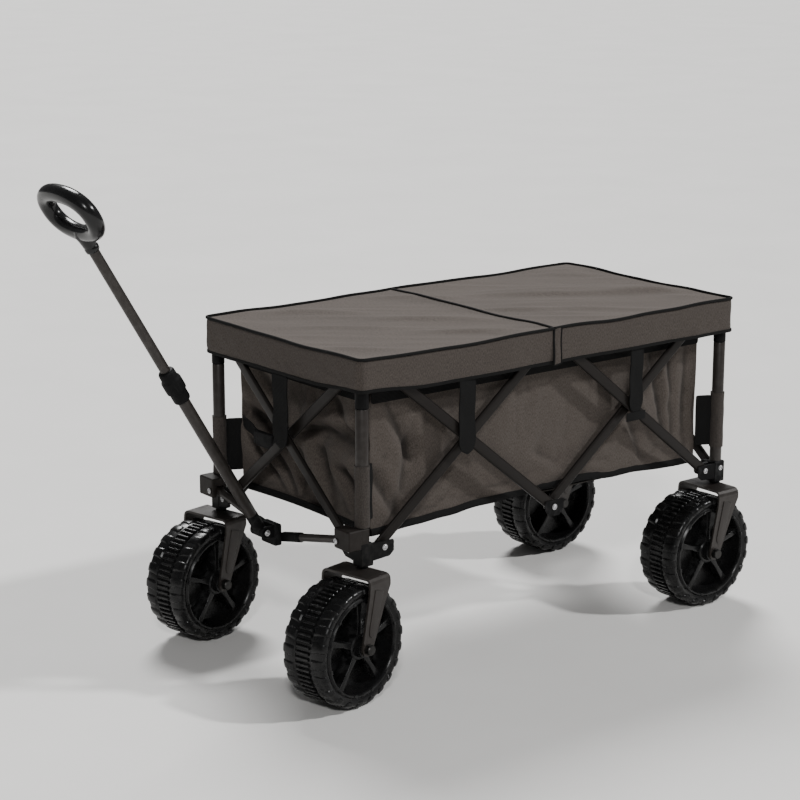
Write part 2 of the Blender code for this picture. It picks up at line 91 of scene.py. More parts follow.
class Shader:
    """A Principled material and short calls to build its nodes."""

    def __init__(self, name, colour, roughness, metallic, specular):
        self.material = bpy.data.materials.new(name)
        self.material.use_nodes = True
        self.tree = self.material.node_tree
        self.bsdf = self.tree.nodes["Principled BSDF"]
        self.bsdf.inputs["Base Color"].default_value = (*colour, 1)
        self.bsdf.inputs["Roughness"].default_value = roughness
        self.bsdf.inputs["Metallic"].default_value = metallic
        self.bsdf.inputs["Specular IOR Level"].default_value = specular

    def put(self, socket, value):
        if hasattr(value, "links"):
            self.tree.links.new(value, socket)
        else:
            socket.default_value = value

    def node(self, kind, inputs=None, out=0, **settings):
        """A node's output, once its settings and inputs are set. An input is a value or another output."""
        made = self.tree.nodes.new("ShaderNode" + kind)
        for key, value in settings.items():
            setattr(made, key, value)
        for socket, value in (inputs or {}).items():
            self.put(made.inputs[socket], value)
        return made.outputs[out]

    def math(self, operation, a, b=0.0):
        return self.node("Math", {0: a, 1: b}, operation=operation)

    def coords(self):
        return self.node("TexCoord", out="Object")

    def uv(self, stretch=(1, 1, 1)):
        return self.node("Mapping", {"Vector": self.node("UVMap", uv_map="cut"), "Scale": stretch})

    def part(self, vector, axis):
        return self.node("SeparateXYZ", {0: vector}, axis)

    def noise(self, vector, scale, detail, roughness=0.55):
        inputs = {"Vector": vector, "Scale": scale, "Detail": detail, "Roughness": roughness}
        return self.node("TexNoise", inputs, "Fac")

    def ramp(self, value, *stops):
        node = self.tree.nodes.new("ShaderNodeValToRGB")
        for element, (place, colour) in zip(node.color_ramp.elements, stops):
            element.position = place
            level = (colour,) * 3 if isinstance(colour, float) else colour
            element.color = (*level, 1)
        self.tree.links.new(value, node.inputs[0])
        return node.outputs[0]

    def mix(self, share, a, b, blend="MIX"):
        a, b = (colour if hasattr(colour, "links") else (*colour, 1) for colour in (a, b))
        return self.node("Mix", {0: share, 6: a, 7: b}, 2, data_type="RGBA", blend_type=blend)

    def bump(self, height, strength, distance, after=None):
        inputs = {"Height": height, "Strength": strength, "Distance": distance}
        if after is not None:
            inputs["Normal"] = after
        return self.node("Bump", inputs)

    def colour(self, value):
        self.put(self.bsdf.inputs["Base Color"], value)

    def rough(self, value):
        self.put(self.bsdf.inputs["Roughness"], value)

    def normal(self, value):
        self.put(self.bsdf.inputs["Normal"], value)

    def worn(self):
        """1 along sharp outer edges, broken up by noise."""
        edge = self.ramp(self.node("NewGeometry", out="Pointiness"), (0.53, 0.0), (0.6, 1.0))
        breaks = self.ramp(self.noise(self.coords(), 90.0, 4.0), (0.45, 0.0), (0.62, 1.0))
        return self.math("MULTIPLY", edge, breaks)


def painted_metal(name, colour, roughness, metallic=0.2, specular=0.32):
    s = Shader(name, colour, roughness, metallic, specular)
    place = s.coords()
    cloud = s.noise(place, 9.0, 3.0)
    darker, lighter = (tuple(c * share for c in colour) for share in (0.95, 1.06))
    base = s.ramp(cloud, (0.3, darker), (0.7, lighter))
    s.colour(s.mix(s.math("MULTIPLY", s.worn(), 0.08), base, (0.16, 0.15, 0.14)))
    s.rough(s.ramp(s.noise(place, 60.0, 5.0), (0.3, roughness - 0.04), (0.7, roughness + 0.06)))
    s.normal(s.bump(s.noise(place, 1300.0, 2.0), 0.14, 0.0003))
    return s.material


def moulded(name, colour, roughness, grain=0.12, dust=0.0, specular=0.32):
    s = Shader(name, colour, roughness, 0.0, specular)
    place = s.coords()
    patch = s.noise(place, 24.0, 5.0)
    lighter = tuple(c * 1.35 + 0.001 for c in colour)
    base = s.ramp(patch, (0.35, colour), (0.72, lighter))
    if dust:
        spread = s.ramp(s.noise(place, 45.0, 6.0, 0.7), (0.5, 0.0), (0.78, 1.0))
        base = s.mix(s.math("MULTIPLY", spread, dust), base, (0.1, 0.088, 0.075))
    s.colour(s.mix(s.math("MULTIPLY", s.worn(), 0.3), base, (0.06, 0.06, 0.06)))
    s.rough(s.ramp(s.noise(place, 70.0, 4.0), (0.3, roughness - 0.07), (0.75, roughness + 0.13)))
    s.normal(s.bump(s.noise(place, 900.0, 2.0), grain, 0.0003))
    return s.material


def weave_height(s):
    """A plain weave: the product of two waves along the cut's two thread directions."""
    rate = 2 * math.pi / THREAD_PITCH
    waves = [s.math("SINE", s.math("MULTIPLY", s.part(s.uv(), axis), rate)) for axis in (0, 1)]
    return s.math("MULTIPLY", *waves)


def canvas(name, dark, light, painted_skirt_shade=1.0, painted_fold_shade=1.0):
    """Heathered woven polyester with painted shade: cloth cut past HANGING_V is darkened as if shaded, and
    the hollows of deep folds are darkened where shade would fall.
    """
    s = Shader(name, dark, 0.9, 0.0, 0.2)
    height = weave_height(s)
    warp = s.noise(s.uv((620, 230, 1)), 1.0, 3.0, 0.7)
    weft = s.noise(s.uv((230, 620, 1)), 1.0, 3.0, 0.7)
    yarn = s.mix(s.ramp(height, (0.35, 0.0), (0.65, 1.0)), warp, weft)
    heather = s.ramp(yarn, (0.34, dark), (0.66, light))
    slow = s.ramp(s.noise(s.uv(), 5.0, 4.0), (0.25, 0.92), (0.75, 1.06))
    # painted shade: cloth cut past HANGING_V, such as the cover's skirt and seam flaps, is darkened by the
    # given share
    hangs = s.math("GREATER_THAN", s.part(s.uv(), 1), HANGING_V - 0.1)
    shade = s.ramp(hangs, (0.0, 1.0), (1.0, painted_skirt_shade))
    # painted shade: the hollows of deep folds, found by pointiness, are darkened down to the given share
    fold_shade_factor = s.ramp(s.node("NewGeometry", out="Pointiness"), (0.465, painted_fold_shade), (0.497, 1.0))
    base = s.mix(1.0, heather, slow, "MULTIPLY")
    s.colour(s.mix(1.0, s.mix(1.0, base, shade, "MULTIPLY"), fold_shade_factor, "MULTIPLY"))
    s.rough(s.ramp(yarn, (0.3, 0.8), (0.7, 0.95)))
    s.bsdf.inputs["Sheen Weight"].default_value = 0.04
    s.bsdf.inputs["Sheen Roughness"].default_value = 0.5
    soft = s.bump(s.noise(s.uv(), 55.0, 4.0), 0.5, 0.0018)
    s.normal(s.bump(height, 0.35, 0.0004, soft))
    return s.material


def webbing(name, colour):
    """Woven tape: ribs across it and a fine thread grain."""
    s = Shader(name, colour, 0.85, 0.0, 0.12)
    ribs = s.math("SINE", s.math("MULTIPLY", s.part(s.uv(), 1), 2 * math.pi / RIB_PITCH))
    threads = s.noise(s.uv((900, 900, 1)), 1.0, 2.0)
    lighter = tuple(c * 1.8 for c in colour)
    s.colour(s.ramp(threads, (0.3, colour), (0.75, lighter)))
    s.rough(s.ramp(threads, (0.3, 0.78), (0.7, 0.95)))
    s.normal(s.bump(ribs, 0.5, 0.0004, s.bump(threads, 0.25, 0.0003)))
    return s.material


def two_tone(name, first, second):
    """A black bracket whose socket, above and ahead of it, is painted metal."""
    s = Shader(name, first, 0.45, 0.1, 0.12)
    place = s.coords()
    height = s.part(place, 2)
    ahead = s.math("LESS_THAN", s.part(place, 1), SOCKET_Y)
    above = s.math("GREATER_THAN", height, SOCKET_LOW)
    past = s.math("MAXIMUM", s.math("GREATER_THAN", height, SOCKET_HIGH), s.math("MULTIPLY", ahead, above))
    cloud = s.ramp(s.noise(place, 12.0, 3.0), (0.3, 0.94), (0.7, 1.07))
    base = s.mix(1.0, s.mix(past, first, second), cloud, "MULTIPLY")
    s.colour(s.mix(s.math("MULTIPLY", s.worn(), 0.06), base, (0.14, 0.13, 0.12)))
    s.rough(s.ramp(s.noise(place, 60.0, 4.0), (0.3, 0.44), (0.7, 0.56)))
    s.normal(s.bump(s.noise(place, 1100.0, 2.0), 0.12, 0.0003))
    return s.material


PAINT = painted_metal("frame_paint_v", (0.027, 0.023, 0.0208), 0.36)
ARM_PAINT = painted_metal("arm_paint_v", (0.0125, 0.0106, 0.0095), 0.4, 0.2, 0.14)
PLASTIC = moulded("bracket_black_v", (0.0042, 0.0042, 0.0044), 0.55, specular=0.08)
GLOSS = moulded("wheel_black_v", (0.0048, 0.0048, 0.005), 0.25, 0.04, 0.05, 0.22)
GRIP = moulded("grip_black_v", (0.006, 0.006, 0.0062), 0.19, 0.03)
STEEL = painted_metal("bolt_steel_v", (0.56, 0.56, 0.57), 0.28, 1.0)
DARK_STEEL = painted_metal("dark_steel_v", (0.03, 0.029, 0.028), 0.34, 0.8)
# the cover's skirt and seam flaps get painted shade, darker than its top
COVER = canvas("cover_cloth_v", (0.048, 0.0392, 0.034), (0.131, 0.11, 0.096), painted_skirt_shade=0.63)
# the basket walls' fold hollows get painted shade
BASKET = canvas("basket_cloth_v", (0.0385, 0.0318, 0.0275), (0.102, 0.0855, 0.074), painted_fold_shade=0.35)
SLEEVE = canvas("sleeve_cloth_v", (0.024, 0.02, 0.0178), (0.062, 0.053, 0.047))
TAPE = webbing("webbing_black_v", (0.006, 0.006, 0.006))
MAT = canvas("mat_cloth_v", (0.016, 0.0145, 0.0135), (0.044, 0.04, 0.036))
# the part's finishes and the materials that belong to each
SLOTS = {
    "frame_paint": (PAINT, ARM_PAINT), "bracket_black": (PLASTIC,), "wheel_black": (GLOSS, GRIP),
    "bolt_steel": (STEEL,), "cover_cloth": (COVER,), "basket_cloth": (BASKET, SLEEVE),
    "mat_cloth": (MAT,), "webbing_black": (TAPE,),
}


# ---- shapes


def from_points(name, verts, faces):
    mesh = bpy.data.meshes.new(name)
    mesh.from_pydata(verts, [], faces)
    return mesh


def grid(rows, columns):
    """The faces of a grid of points that runs row by row."""
    wide = columns + 1
    starts = [i * wide + j for i in range(rows) for j in range(columns)]
    return [(a, a + 1, a + wide + 1, a + wide) for a in starts]


def shown(name, mesh, material, smooth=40.0):
    obj = bpy.data.objects.new(name, mesh)
    bpy.context.scene.collection.objects.link(obj)
    mesh.materials.clear()
    mesh.materials.append(material)
    mesh.shade_smooth()
    mesh.set_sharp_from_angle(angle=math.radians(smooth))
    return obj


WELD = 0.00002


def mended(mesh, weld=0.0):
    """Weld a mesh's doubled points and turn its faces outwards."""
    work = bmesh.new()
    work.from_mesh(mesh)
    if weld:
        bmesh.ops.remove_doubles(work, verts=work.verts, dist=weld)
    bmesh.ops.recalc_face_normals(work, faces=work.faces)
    work.to_mesh(mesh)
    work.free()
    return mesh


def from_curve(curve, matrix):
    """The mesh of a curve, placed by matrix."""
    obj = bpy.data.objects.new("draft", curve)
    bpy.context.scene.collection.objects.link(obj)
    bpy.context.view_layer.update()
    graph = bpy.context.evaluated_depsgraph_get()
    mesh = bpy.data.meshes.new_from_object(obj.evaluated_get(graph))
    bpy.data.objects.remove(obj, do_unlink=True)
    mended(mesh, WELD).transform(matrix)
    return mesh


def capsule(length, radius, steps=14):
    points = []
    for start, centre in ((-90, length), (90, 0.0)):
        for i in range(steps + 1):
            angle = math.radians(start + 180 * i / steps)
            points.append((centre + radius * math.cos(angle), radius * math.sin(angle)))
    return points


def poly_curve(points, dimensions, depth, resolution, closed):
    curve = bpy.data.curves.new("run", "CURVE")
    curve.dimensions = dimensions
    curve.bevel_depth = depth
    curve.bevel_resolution = resolution
    spline = curve.splines.new("POLY")
    spline.points.add(len(points) - 1)
    for point, place in zip(spline.points, points):
        point.co = (*place, 1)
    spline.use_cyclic_u = closed
    return curve


def plate(outline, thickness, matrix, edge, rounds=3):
    """A filled outline with rounded edges, centred on its plane."""
    curve = poly_curve([(x, y, 0) for x, y in outline], "2D", edge, rounds, True)
    curve.fill_mode = "BOTH"
    curve.extrude = thickness / 2 - edge
    curve.offset = -edge
    return from_curve(curve, matrix)


def tube(points, radius, closed=False, resolution=4, radii=None):
    """A round tube through points, with capped ends."""
    curve = poly_curve(points, "3D", radius, resolution, closed)
    curve.use_fill_caps = not closed
    for point, share in zip(curve.splines[0].points, radii or ()):
        point.radius = share
    return from_curve(curve, Matrix.Identity(4))


def turned(profile, matrix, steps=48, ring=False):
    """A profile of (radius, height) pairs turned about the matrix's z axis."""
    work = bmesh.new()
    points = [work.verts.new((r, 0, h)) for r, h in profile]
    edges = [work.edges.new(pair) for pair in zip(points, points[1:])]
    if ring:
        edges.append(work.edges.new((points[-1], points[0])))
    whole = points + edges
    bmesh.ops.spin(work, geom=whole, axis=(0, 0, 1), cent=(0, 0, 0), steps=steps, angle=2 * math.pi)
    mesh = bpy.data.meshes.new("turned")
    work.to_mesh(mesh)
    work.free()
    mended(mesh, WELD).transform(matrix)
    return mesh


def joined(name, meshes):
    work = bmesh.new()
    for mesh in meshes:
        work.from_mesh(mesh)
    made = bpy.data.meshes.new(name)
    work.to_mesh(made)
    work.free()
    return made


def merged(name, meshes, material, smooth=40.0):
    """Several meshes as one piece."""
    return shown(name, joined(name, meshes), material, smooth)


def carry(body, *pieces):
    """Let pieces ride on a body; each piece's material must be one of those in SLOTS."""
    for piece in pieces:
        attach(piece, body)
        next(slot for slot, looks in SLOTS.items() if piece.data.materials[0] in looks)


def block(low, high, edge, rounds):
    """A rounded block between two corners in the wagon's frame."""
    pairs = [sorted(pair) for pair in zip(low, high)]
    work = bmesh.new()
    bmesh.ops.create_cube(work, size=1)
    size = [b - a for a, b in pairs]
    middle = at(*[(a + b) / 2 for a, b in pairs])
    for vert in work.verts:
        vert.co = Vector([c * s for c, s in zip(vert.co, size)]) + middle
    bmesh.ops.bevel(work, geom=work.edges[:], offset=edge, segments=rounds, affect="EDGES", profile=0.5)
    mesh = bpy.data.meshes.new("block")
    work.to_mesh(mesh)
    work.free()
    return mesh


# a bolt head's profile, as shares of its radius and height: socket, dome and washer
BOLT_PROFILE = (
    (0.0, 0.45), (0.42, 0.45), (0.46, 0.98), (0.66, 0.88), (0.82, 0.6), (0.86, 0.3),
    (1.12, 0.28), (1.15, 0.0), (0.0, 0.0),
)


def bolt(centre, axis, radius, height):
    """A domed bolt head with a socket in it, on a washer."""
    across = (0, 0, 1) if abs(axis[2]) < 0.5 else (1, 0, 0)
    profile = [(radius * r, height * h) for r, h in BOLT_PROFILE]
    return turned(profile, seat(centre, across, axis), 20)


# ---- cloth

# the size of a cell in the grids of the walls and the cover
CELL = 0.0085


def cloth_mesh(rows, columns, place, cut):
    """A grid of rows by columns. place gives a point and cut its position on the flat cloth, in metres."""
    shares = [(j / columns, i / rows) for i in range(rows + 1) for j in range(columns + 1)]
    mesh = from_points("cloth", [place(*share) for share in shares], grid(rows, columns))
    return laid_out(mesh, [cut(*share) for share in shares])


def laid_out(mesh, flat):
    """Give a mesh its cut coordinates, one for each point."""
    layer = mesh.uv_layers.new(name="cut")
    for loop in mesh.loops:
        layer.data[loop.index].uv = flat[loop.vertex_index]
    return mesh


def sideward(ahead):
    return Vector((ahead.y, -ahead.x, 0)).normalized()


def swept(name, points, section, axes):
    """A tape along points. section has (out, up, cut) for each corner and axes gives the two directions."""
    verts, faces, flat = [], [], []
    run = 0.0
    count, last = len(section), len(points) - 1
    for i, point in enumerate(points):
        outward, upward = axes(points[min(i + 1, last)] - points[max(i - 1, 0)])
        if i:
            run += (point - points[i - 1]).length
        for out, up, cut in section:
            verts.append(point + outward * out + upward * up)
            flat.append((cut, run))
    for i in range(last):
        for k in range(count):
            a, b = i * count + k, i * count + (k + 1) % count
            faces.append((a, b, b + count, a + count))
    faces.append(tuple(range(count)))
    faces.append(tuple(reversed(range(last * count, last * count + count))))
    return mended(laid_out(from_points(name, verts, faces), flat))


def settle_cloth(obj, pinned, slack, frames, gravity, stiff, bend):
    """Let a cloth a little larger than its frame hang and buckle, and keep the shape it takes."""
    group = obj.vertex_groups.new(name="pin")
    group.add(pinned, 1.0, "REPLACE")
    cloth = obj.modifiers.new("cloth", "CLOTH")
    rules = cloth.settings
    rules.quality = 6
    rules.mass = 0.2
    rules.tension_stiffness = stiff
    rules.compression_stiffness = stiff
    rules.shear_stiffness = stiff / 2
    rules.bending_stiffness = bend
    rules.tension_damping = 12
    rules.compression_damping = 12
    rules.bending_damping = 2
    rules.air_damping = 4
    rules.vertex_group_mass = "pin"
    rules.shrink_min = -slack
    rules.shrink_max = -slack
    rules.effector_weights.gravity = gravity
    cloth.collision_settings.use_collision = False
    cloth.point_cache.frame_start = 1
    cloth.point_cache.frame_end = frames
    scene = bpy.context.scene
    for step in range(1, frames + 1):
        scene.frame_set(step)
    graph = bpy.context.evaluated_depsgraph_get()
    done = obj.evaluated_get(graph).to_mesh()
    places = [vert.co.copy() for vert in done.vertices]
    obj.evaluated_get(graph).to_mesh_clear()
    obj.modifiers.remove(cloth)
    obj.vertex_groups.remove(group)
    scene.frame_set(1)
    for vert, place in zip(obj.data.vertices, places):
        vert.co = place


def thicken(obj, thickness):
    """Give a cloth its thickness, inwards from the face it shows, and one subdivision."""
    fine = obj.modifiers.new("fine", "SUBSURF")
    fine.levels = 1
    fine.render_levels = 1
    solid = obj.modifiers.new("thick", "SOLIDIFY")
    solid.thickness = thickness
    solid.offset = -1
    graph = bpy.context.evaluated_depsgraph_get()
    bpy.context.view_layer.update()
    mesh = bpy.data.meshes.new_from_object(obj.evaluated_get(graph))
    obj.modifiers.clear()
    old = obj.data
    obj.data = mesh
    bpy.data.meshes.remove(old)
    obj.data.shade_smooth()
    obj.data.set_sharp_from_angle(angle=math.radians(60))


def ripple(point, seed):
    return noise.noise(Vector(point) + Vector((seed * 7.3, seed * 3.1, seed * 5.7)))


# creases of each wall: start and end (along from the wall's first corner, height), half width, depth
FOLDS = {
    "right": (
        (0.03, 0.5, 0.085, 0.4, 0.013, 0.01), (0.085, 0.4, 0.06, 0.3, 0.016, 0.012),
        (0.125, 0.47, 0.175, 0.405, 0.01, -0.006), (0.01, 0.36, 0.06, 0.285, 0.011, 0.009),
        (0.38, 0.345, 0.47, 0.3, 0.014, 0.006), (0.43, 0.32, 0.52, 0.292, 0.008, -0.004),
        (0.585, 0.395, 0.625, 0.3, 0.009, 0.007), (0.6, 0.43, 0.665, 0.33, 0.009, -0.005),
        (0.64, 0.505, 0.69, 0.34, 0.009, 0.009), (0.69, 0.505, 0.715, 0.33, 0.008, 0.008),
        (0.66, 0.505, 0.7, 0.4, 0.006, -0.004), (0.735, 0.5, 0.74, 0.3, 0.009, 0.008),
        (0.17, 0.375, 0.11, 0.3, 0.014, 0.007), (0.27, 0.48, 0.35, 0.47, 0.02, 0.005),
    ),
    "left": (
        (0.04, 0.5, 0.1, 0.38, 0.013, 0.01), (0.18, 0.39, 0.12, 0.3, 0.013, 0.008),
        (0.33, 0.44, 0.41, 0.32, 0.018, 0.007), (0.59, 0.4, 0.66, 0.31, 0.01, 0.008),
        (0.65, 0.505, 0.7, 0.34, 0.009, 0.009), (0.73, 0.49, 0.745, 0.31, 0.009, 0.008),
    ),
    "rear": (
        (0.03, 0.48, 0.11, 0.41, 0.012, 0.009), (0.34, 0.49, 0.26, 0.41, 0.012, 0.009),
        (0.06, 0.34, 0.14, 0.3, 0.012, 0.007), (0.3, 0.35, 0.25, 0.29, 0.012, 0.007),
    ),
    "front": (
        (0.205, 0.43, 0.33, 0.452, 0.012, -0.006), (0.2, 0.412, 0.335, 0.418, 0.013, 0.014),
        (0.045, 0.49, 0.09, 0.44, 0.014, 0.01), (0.02, 0.4, 0.12, 0.385, 0.013, 0.013),
        (0.03, 0.35, 0.09, 0.31, 0.007, 0.008), (0.06, 0.36, 0.125, 0.3, 0.007, -0.005),
        (0.1, 0.345, 0.15, 0.29, 0.007, 0.008), (0.22, 0.37, 0.26, 0.29, 0.014, 0.011),
        (0.29, 0.35, 0.35, 0.3, 0.012, 0.011), (0.25, 0.5, 0.29, 0.45, 0.012, 0.009),
        (0.345, 0.48, 0.36, 0.38, 0.01, 0.01), (0.165, 0.36, 0.175, 0.29, 0.009, 0.008),
    ),
}
# how side and end walls differ: depth of their folds, height of their swell, and how far they may bulge
WALL_KINDS = {"side": (1.35, 1.0, 0.0062), "end": (2.2, 2.1, 0.0125)}
# the rim tape's black band reaches down to RIM_LOW below the cover's skirt: partly the basket's real rim
# edging, partly a dark band that stands in as painted shade under the skirt
WALL_LOW, WALL_HIGH, RIM_LOW, RIM_HIGH = 0.271, 0.515, 0.4935, 0.517
SIDE_IN, FRONT_IN, REAR_IN, DEEPEST = 0.189, -0.3835, 0.3815, -0.026
# an axis and a place for cloth to flatten along and towards as the frame folds; gather() takes them but does
# not use them
ALONG = ((0, 1, 0), at(0, PIVOT_Y, 0))
ACROSS = ((1, 0, 0), at(PIVOT_X, 0, 0))


def gather(body, fold, *pieces):
    """Carry soft pieces with a body, each with a mesh of its own."""
    carry(body, *pieces)
    for piece in pieces:
        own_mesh(piece)


def lower_edge(kind, share):
    """Height of a wall's lower edge: a little higher at the sides' middle, where the frame holds it."""
    if kind == "side":
        wave = 0.0035 * ripple((share * 13, 0, 2), 51)
        return WALL_LOW + 0.013 * math.sin(math.pi * share) ** 1.5 + wave * min(1.0, 8 * share * (1 - share))
    return WALL_LOW + 0.006 * math.sin(math.pi * share)


def folded(along, height, folds):
    """How far the cloth falls in at a place, from its creases: sharp on one side, soft on the other."""
    depth = 0.0
    for x0, z0, x1, z1, half, deep in folds:
        run, rise = x1 - x0, z1 - z0
        long = math.hypot(run, rise)
        share = ((along - x0) * run + (height - z0) * rise) / long ** 2
        off = ((along - x0) * rise - (height - z0) * run) / long
        past = max(0.0, -share, share - 1) * long
        reach = half * (0.7 if off > 0 else 1.5)
        depth += deep * math.exp(-((off / reach) ** 2) - (past / (half * 2.2)) ** 2)
    return depth


def wall(where, kind, low, high, outward, body, fold, seed):
    """One basket wall: a slack cloth between the rim and the floor, bound top and bottom."""
    outward = Vector(outward)
    width = (high - low).length
    columns, rows = max(24, round(width / CELL)), 30
    deeper, lively, bulge = WALL_KINDS[kind]

    def place(u, v):
        bottom = lower_edge(kind, u)
        point = low.lerp(high, u) + UP * (bottom + (WALL_HIGH - bottom) * v)
        fade = math.sin(math.pi * v) ** 0.6 if 0 < v < 1 else 0
        swell = 0.0055 * lively * ripple((u * width * 8, v * 1.6, 0), seed)
        swell += 0.003 * lively * ripple((u * width * 24, v * 3.0, 4), seed + 1)
        swell -= folded(u * width, point.z, FOLDS[where]) * deeper
        return point + outward * swell * fade

    mesh = cloth_mesh(rows, columns, place, lambda u, v: (u * width, v * (WALL_HIGH - WALL_LOW)))
    obj = shown(f"basket_{where}", mesh, BASKET)
    wide = columns + 1
    lowest, highest = list(range(wide)), list(range(rows * wide, rows * wide + wide))
    ends = [i * wide + j for i in range(rows + 1) for j in (0, columns)]
    pinned = lowest + highest + ends
    settle_cloth(obj, pinned, slack=0.006, frames=14, gravity=0.5, stiff=12.0, bend=0.6)
    base, half = low.dot(outward), bulge / 2
    for vert in obj.data.vertices:
        out = vert.co.dot(outward) - base
        kept = half + half * math.tanh((out - half) / half) if out > half else max(out, DEEPEST)
        vert.co += outward * (kept - out)
    tapes = bind_wall(obj, lowest, highest, outward, width)
    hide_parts(f"basket_wall_{where}")
    gather(body, fold, obj, *tapes)


def bind_wall(obj, lowest, highest, outward, width):
    """Thicken a wall and bind its lower edge and its rim with black tapes that are partly edging and partly
    painted shade, and return the two tapes.
    """
    verts = obj.data.vertices
    bottom = [verts[n].co + outward * 0.0008 for n in lowest]
    top = [verts[n].co + outward * 0.0035 for n in highest]
    face_out(obj, outward)
    thicken(obj, 0.0014)
    binding_and_shade = shown(f"{obj.name}_binding", binding_and_shade_tape(bottom, outward), TAPE)
    columns = len(top) - 1

    def on_rim(u, v):
        point = top[min(int(u * columns + 0.5), columns)].copy()
        point.z = RIM_LOW + (RIM_HIGH - RIM_LOW) * v
        return point

    # the rim tape is partly edging and partly painted shade under the cover's skirt
    tall = RIM_HIGH - RIM_LOW
    rim = shown(f"{obj.name}_rim", cloth_mesh(3, columns, on_rim, lambda u, v: (u * width, v * tall)), TAPE)
    face_out(rim, outward)
    thicken(rim, 0.0016)
    return [binding_and_shade, rim]


def face_out(obj, outward):
    total = sum((p.normal.dot(outward) for p in obj.data.polygons), 0.0)
    if total < 0:
        obj.data.flip_normals()


def binding_and_shade_tape(points, outward):
    """A soft rounded black tape along a wall's lower edge, taller than edging alone: partly edging and
    partly painted shade under the basket's floor edge.
    """
    around = 10
    section = []
    for k in range(around):
        angle = 2 * math.pi * k / around
        section.append((0.0026 * math.cos(angle), 0.0068 * math.sin(angle), 0.02 * k / around))
    return swept("strip", points, section, lambda ahead: (outward, outward.cross(ahead).normalized()))


def basket():
    for side, side_name in SIDES:
        x = side * SIDE_IN
        wall(
            side_name, "side", at(x, FRONT_IN, 0), at(x, REAR_IN, 0), (side, 0, 0),
            f"rear_{side_name}_corner", ALONG, 3 if side > 0 else 8,
        )
    for end, end_name in ENDS:
        y = REAR_IN if end > 0 else FRONT_IN
        wall(
            end_name, "end", at(-SIDE_IN, y, 0), at(SIDE_IN, y, 0), (0, end, 0),
            f"{end_name}_right_corner", ACROSS, 12 if end > 0 else 17,
        )


def strap(name, low, high, across, outward, width, body, fold, drape=True):
    """A flat webbing strap from the rim over an arm crossing, drawn in at its lower end."""
    across, outward = Vector(across), Vector(outward)
    length = (high - low).length

    def place(u, v):
        sway = 0.0012 * math.sin(v * 9) + 0.0016 * ripple((u * 2, v * 4, 1), 5)
        pinch, tip = 1.0, 0.0
        if drape:
            pinch = 1.0 - 0.34 * max(0.0, 1 - v / 0.16) ** 1.5 - 0.1 * math.sin(v * 2.6)
            tip = -0.007 * (1 - abs(2 * u - 1)) * max(0.0, 1 - v / 0.1)
        return low.lerp(high, v) + across * (u - 0.5) * width * pinch + outward * sway + UP * tip

    obj = shown(name, cloth_mesh(22, 8, place, lambda u, v: (u * width, v * length)), TAPE)
    face_out(obj, outward)
    thicken(obj, 0.002)
    gather(body, fold, obj)


def straps():
    for side, side_name in SIDES:
        body = f"rear_{side_name}_corner"
        for y, tag, width, low in ((-0.205, "front", 0.038, 0.392), (0.191, "rear", 0.034, 0.402)):
            strap(
                f"strap_{side_name}_{tag}", at(side * 0.2275, y, low), at(side * 0.2272, y, 0.516),
                (0, 1, 0), (side, 0, 0), width, body, ALONG,
            )
        tail = block((side * 0.2268, 0.168, 0.383), (side * 0.2288, 0.214, 0.399), 0.0008, 2)
        gather(body, ALONG, shown(f"strap_tail_{side_name}", tail, TAPE))
    for end, end_name in ENDS:
        strap(
            f"strap_{end_name}", at(0, end * 0.4338, 0.392), at(0, end * 0.4334, 0.515),
            (1, 0, 0), (0, end, 0), 0.046, f"{end_name}_right_corner", ACROSS,
        )
    tie()


def tie():
    """The closing strap across the front panel and its side-release buckle."""
    body = "front_right_corner"
    start, end = at(-0.177, -0.3905, 0.393), at(-0.112, -0.4005, 0.3775)
    strap("strap_front_tie", start, end, (0, 0, 1), (0, -1, 0), 0.02, body, ACROSS, False)
    meshes = [block((-0.116, -0.397, 0.362), (-0.066, -0.4055, 0.39), 0.003, 3)]
    meshes.append(block((-0.126, -0.398, 0.365), (-0.113, -0.404, 0.387), 0.002, 2))
    meshes.append(block((-0.07, -0.3975, 0.367), (-0.052, -0.4035, 0.385), 0.002, 2))
    gather(body, ACROSS, merged("strap_buckle", meshes, PLASTIC))


# ---- cover

COVER_X, COVER_Y, COVER_TOP, SKIRT_LOW, SEAM = 0.2305, 0.4345, 0.5775, 0.5175, -0.014
CORNER_R = 0.013
# the lid sags no lower than this at rest, easing towards it over the last stretch, to clear the top brackets
LID_LOWEST, LID_EASE = 0.5746, 0.002
# the number of rows of cells down each skirt
DROPS = 8


def rounded(x, y):
    """Move a grid point near a panel's square corner onto its rounded corner."""
    dx = abs(x) - (COVER_X - CORNER_R)
    dy = abs(y) - (COVER_Y - CORNER_R)
    if dx > 0 and dy > 0:
        keep = max(dx, dy) / math.hypot(dx, dy)
        x = math.copysign(COVER_X - CORNER_R + dx * keep, x)
        y = math.copysign(COVER_Y - CORNER_R + dy * keep, y)
    return x, y


def crease(x, y):
    """Height of a cover's slanting creases: ridges with shallow valleys, gone at its edges and seam."""
    edge = min(COVER_X - abs(x), COVER_Y - abs(y), 0.05) / 0.05
    middle = min(abs(y - SEAM) / 0.03, 1.0)
    along, across = x * 0.62 + y * 0.78, y * 0.62 - x * 0.78
    height = 0.012 * ripple((along * 3.5, across * 19, 2), 21)
    height += 0.0062 * ripple((along * 6, across * 48, 3), 22)
    return max(height, 0.25 * height) * edge * middle


def lid_height(x, y):
    """A cover's height before it settles: held at the corners and the seam, slack between."""
    share_y = (y - SEAM) / (math.copysign(COVER_Y, y) - SEAM)
    droop = 0.0022 * math.sin(math.pi * min(max(share_y, 0.0), 1.0)) ** 2 * (abs(x) / COVER_X) ** 4
    droop += 0.0026 * math.sin(math.pi * (x / COVER_X + 1) / 2) ** 2 * max(0.0, share_y) ** 6
    line = 0.0032 * ripple((x * 9, y * 9, 0), 23)
    return COVER_TOP + 0.0015 + line - droop


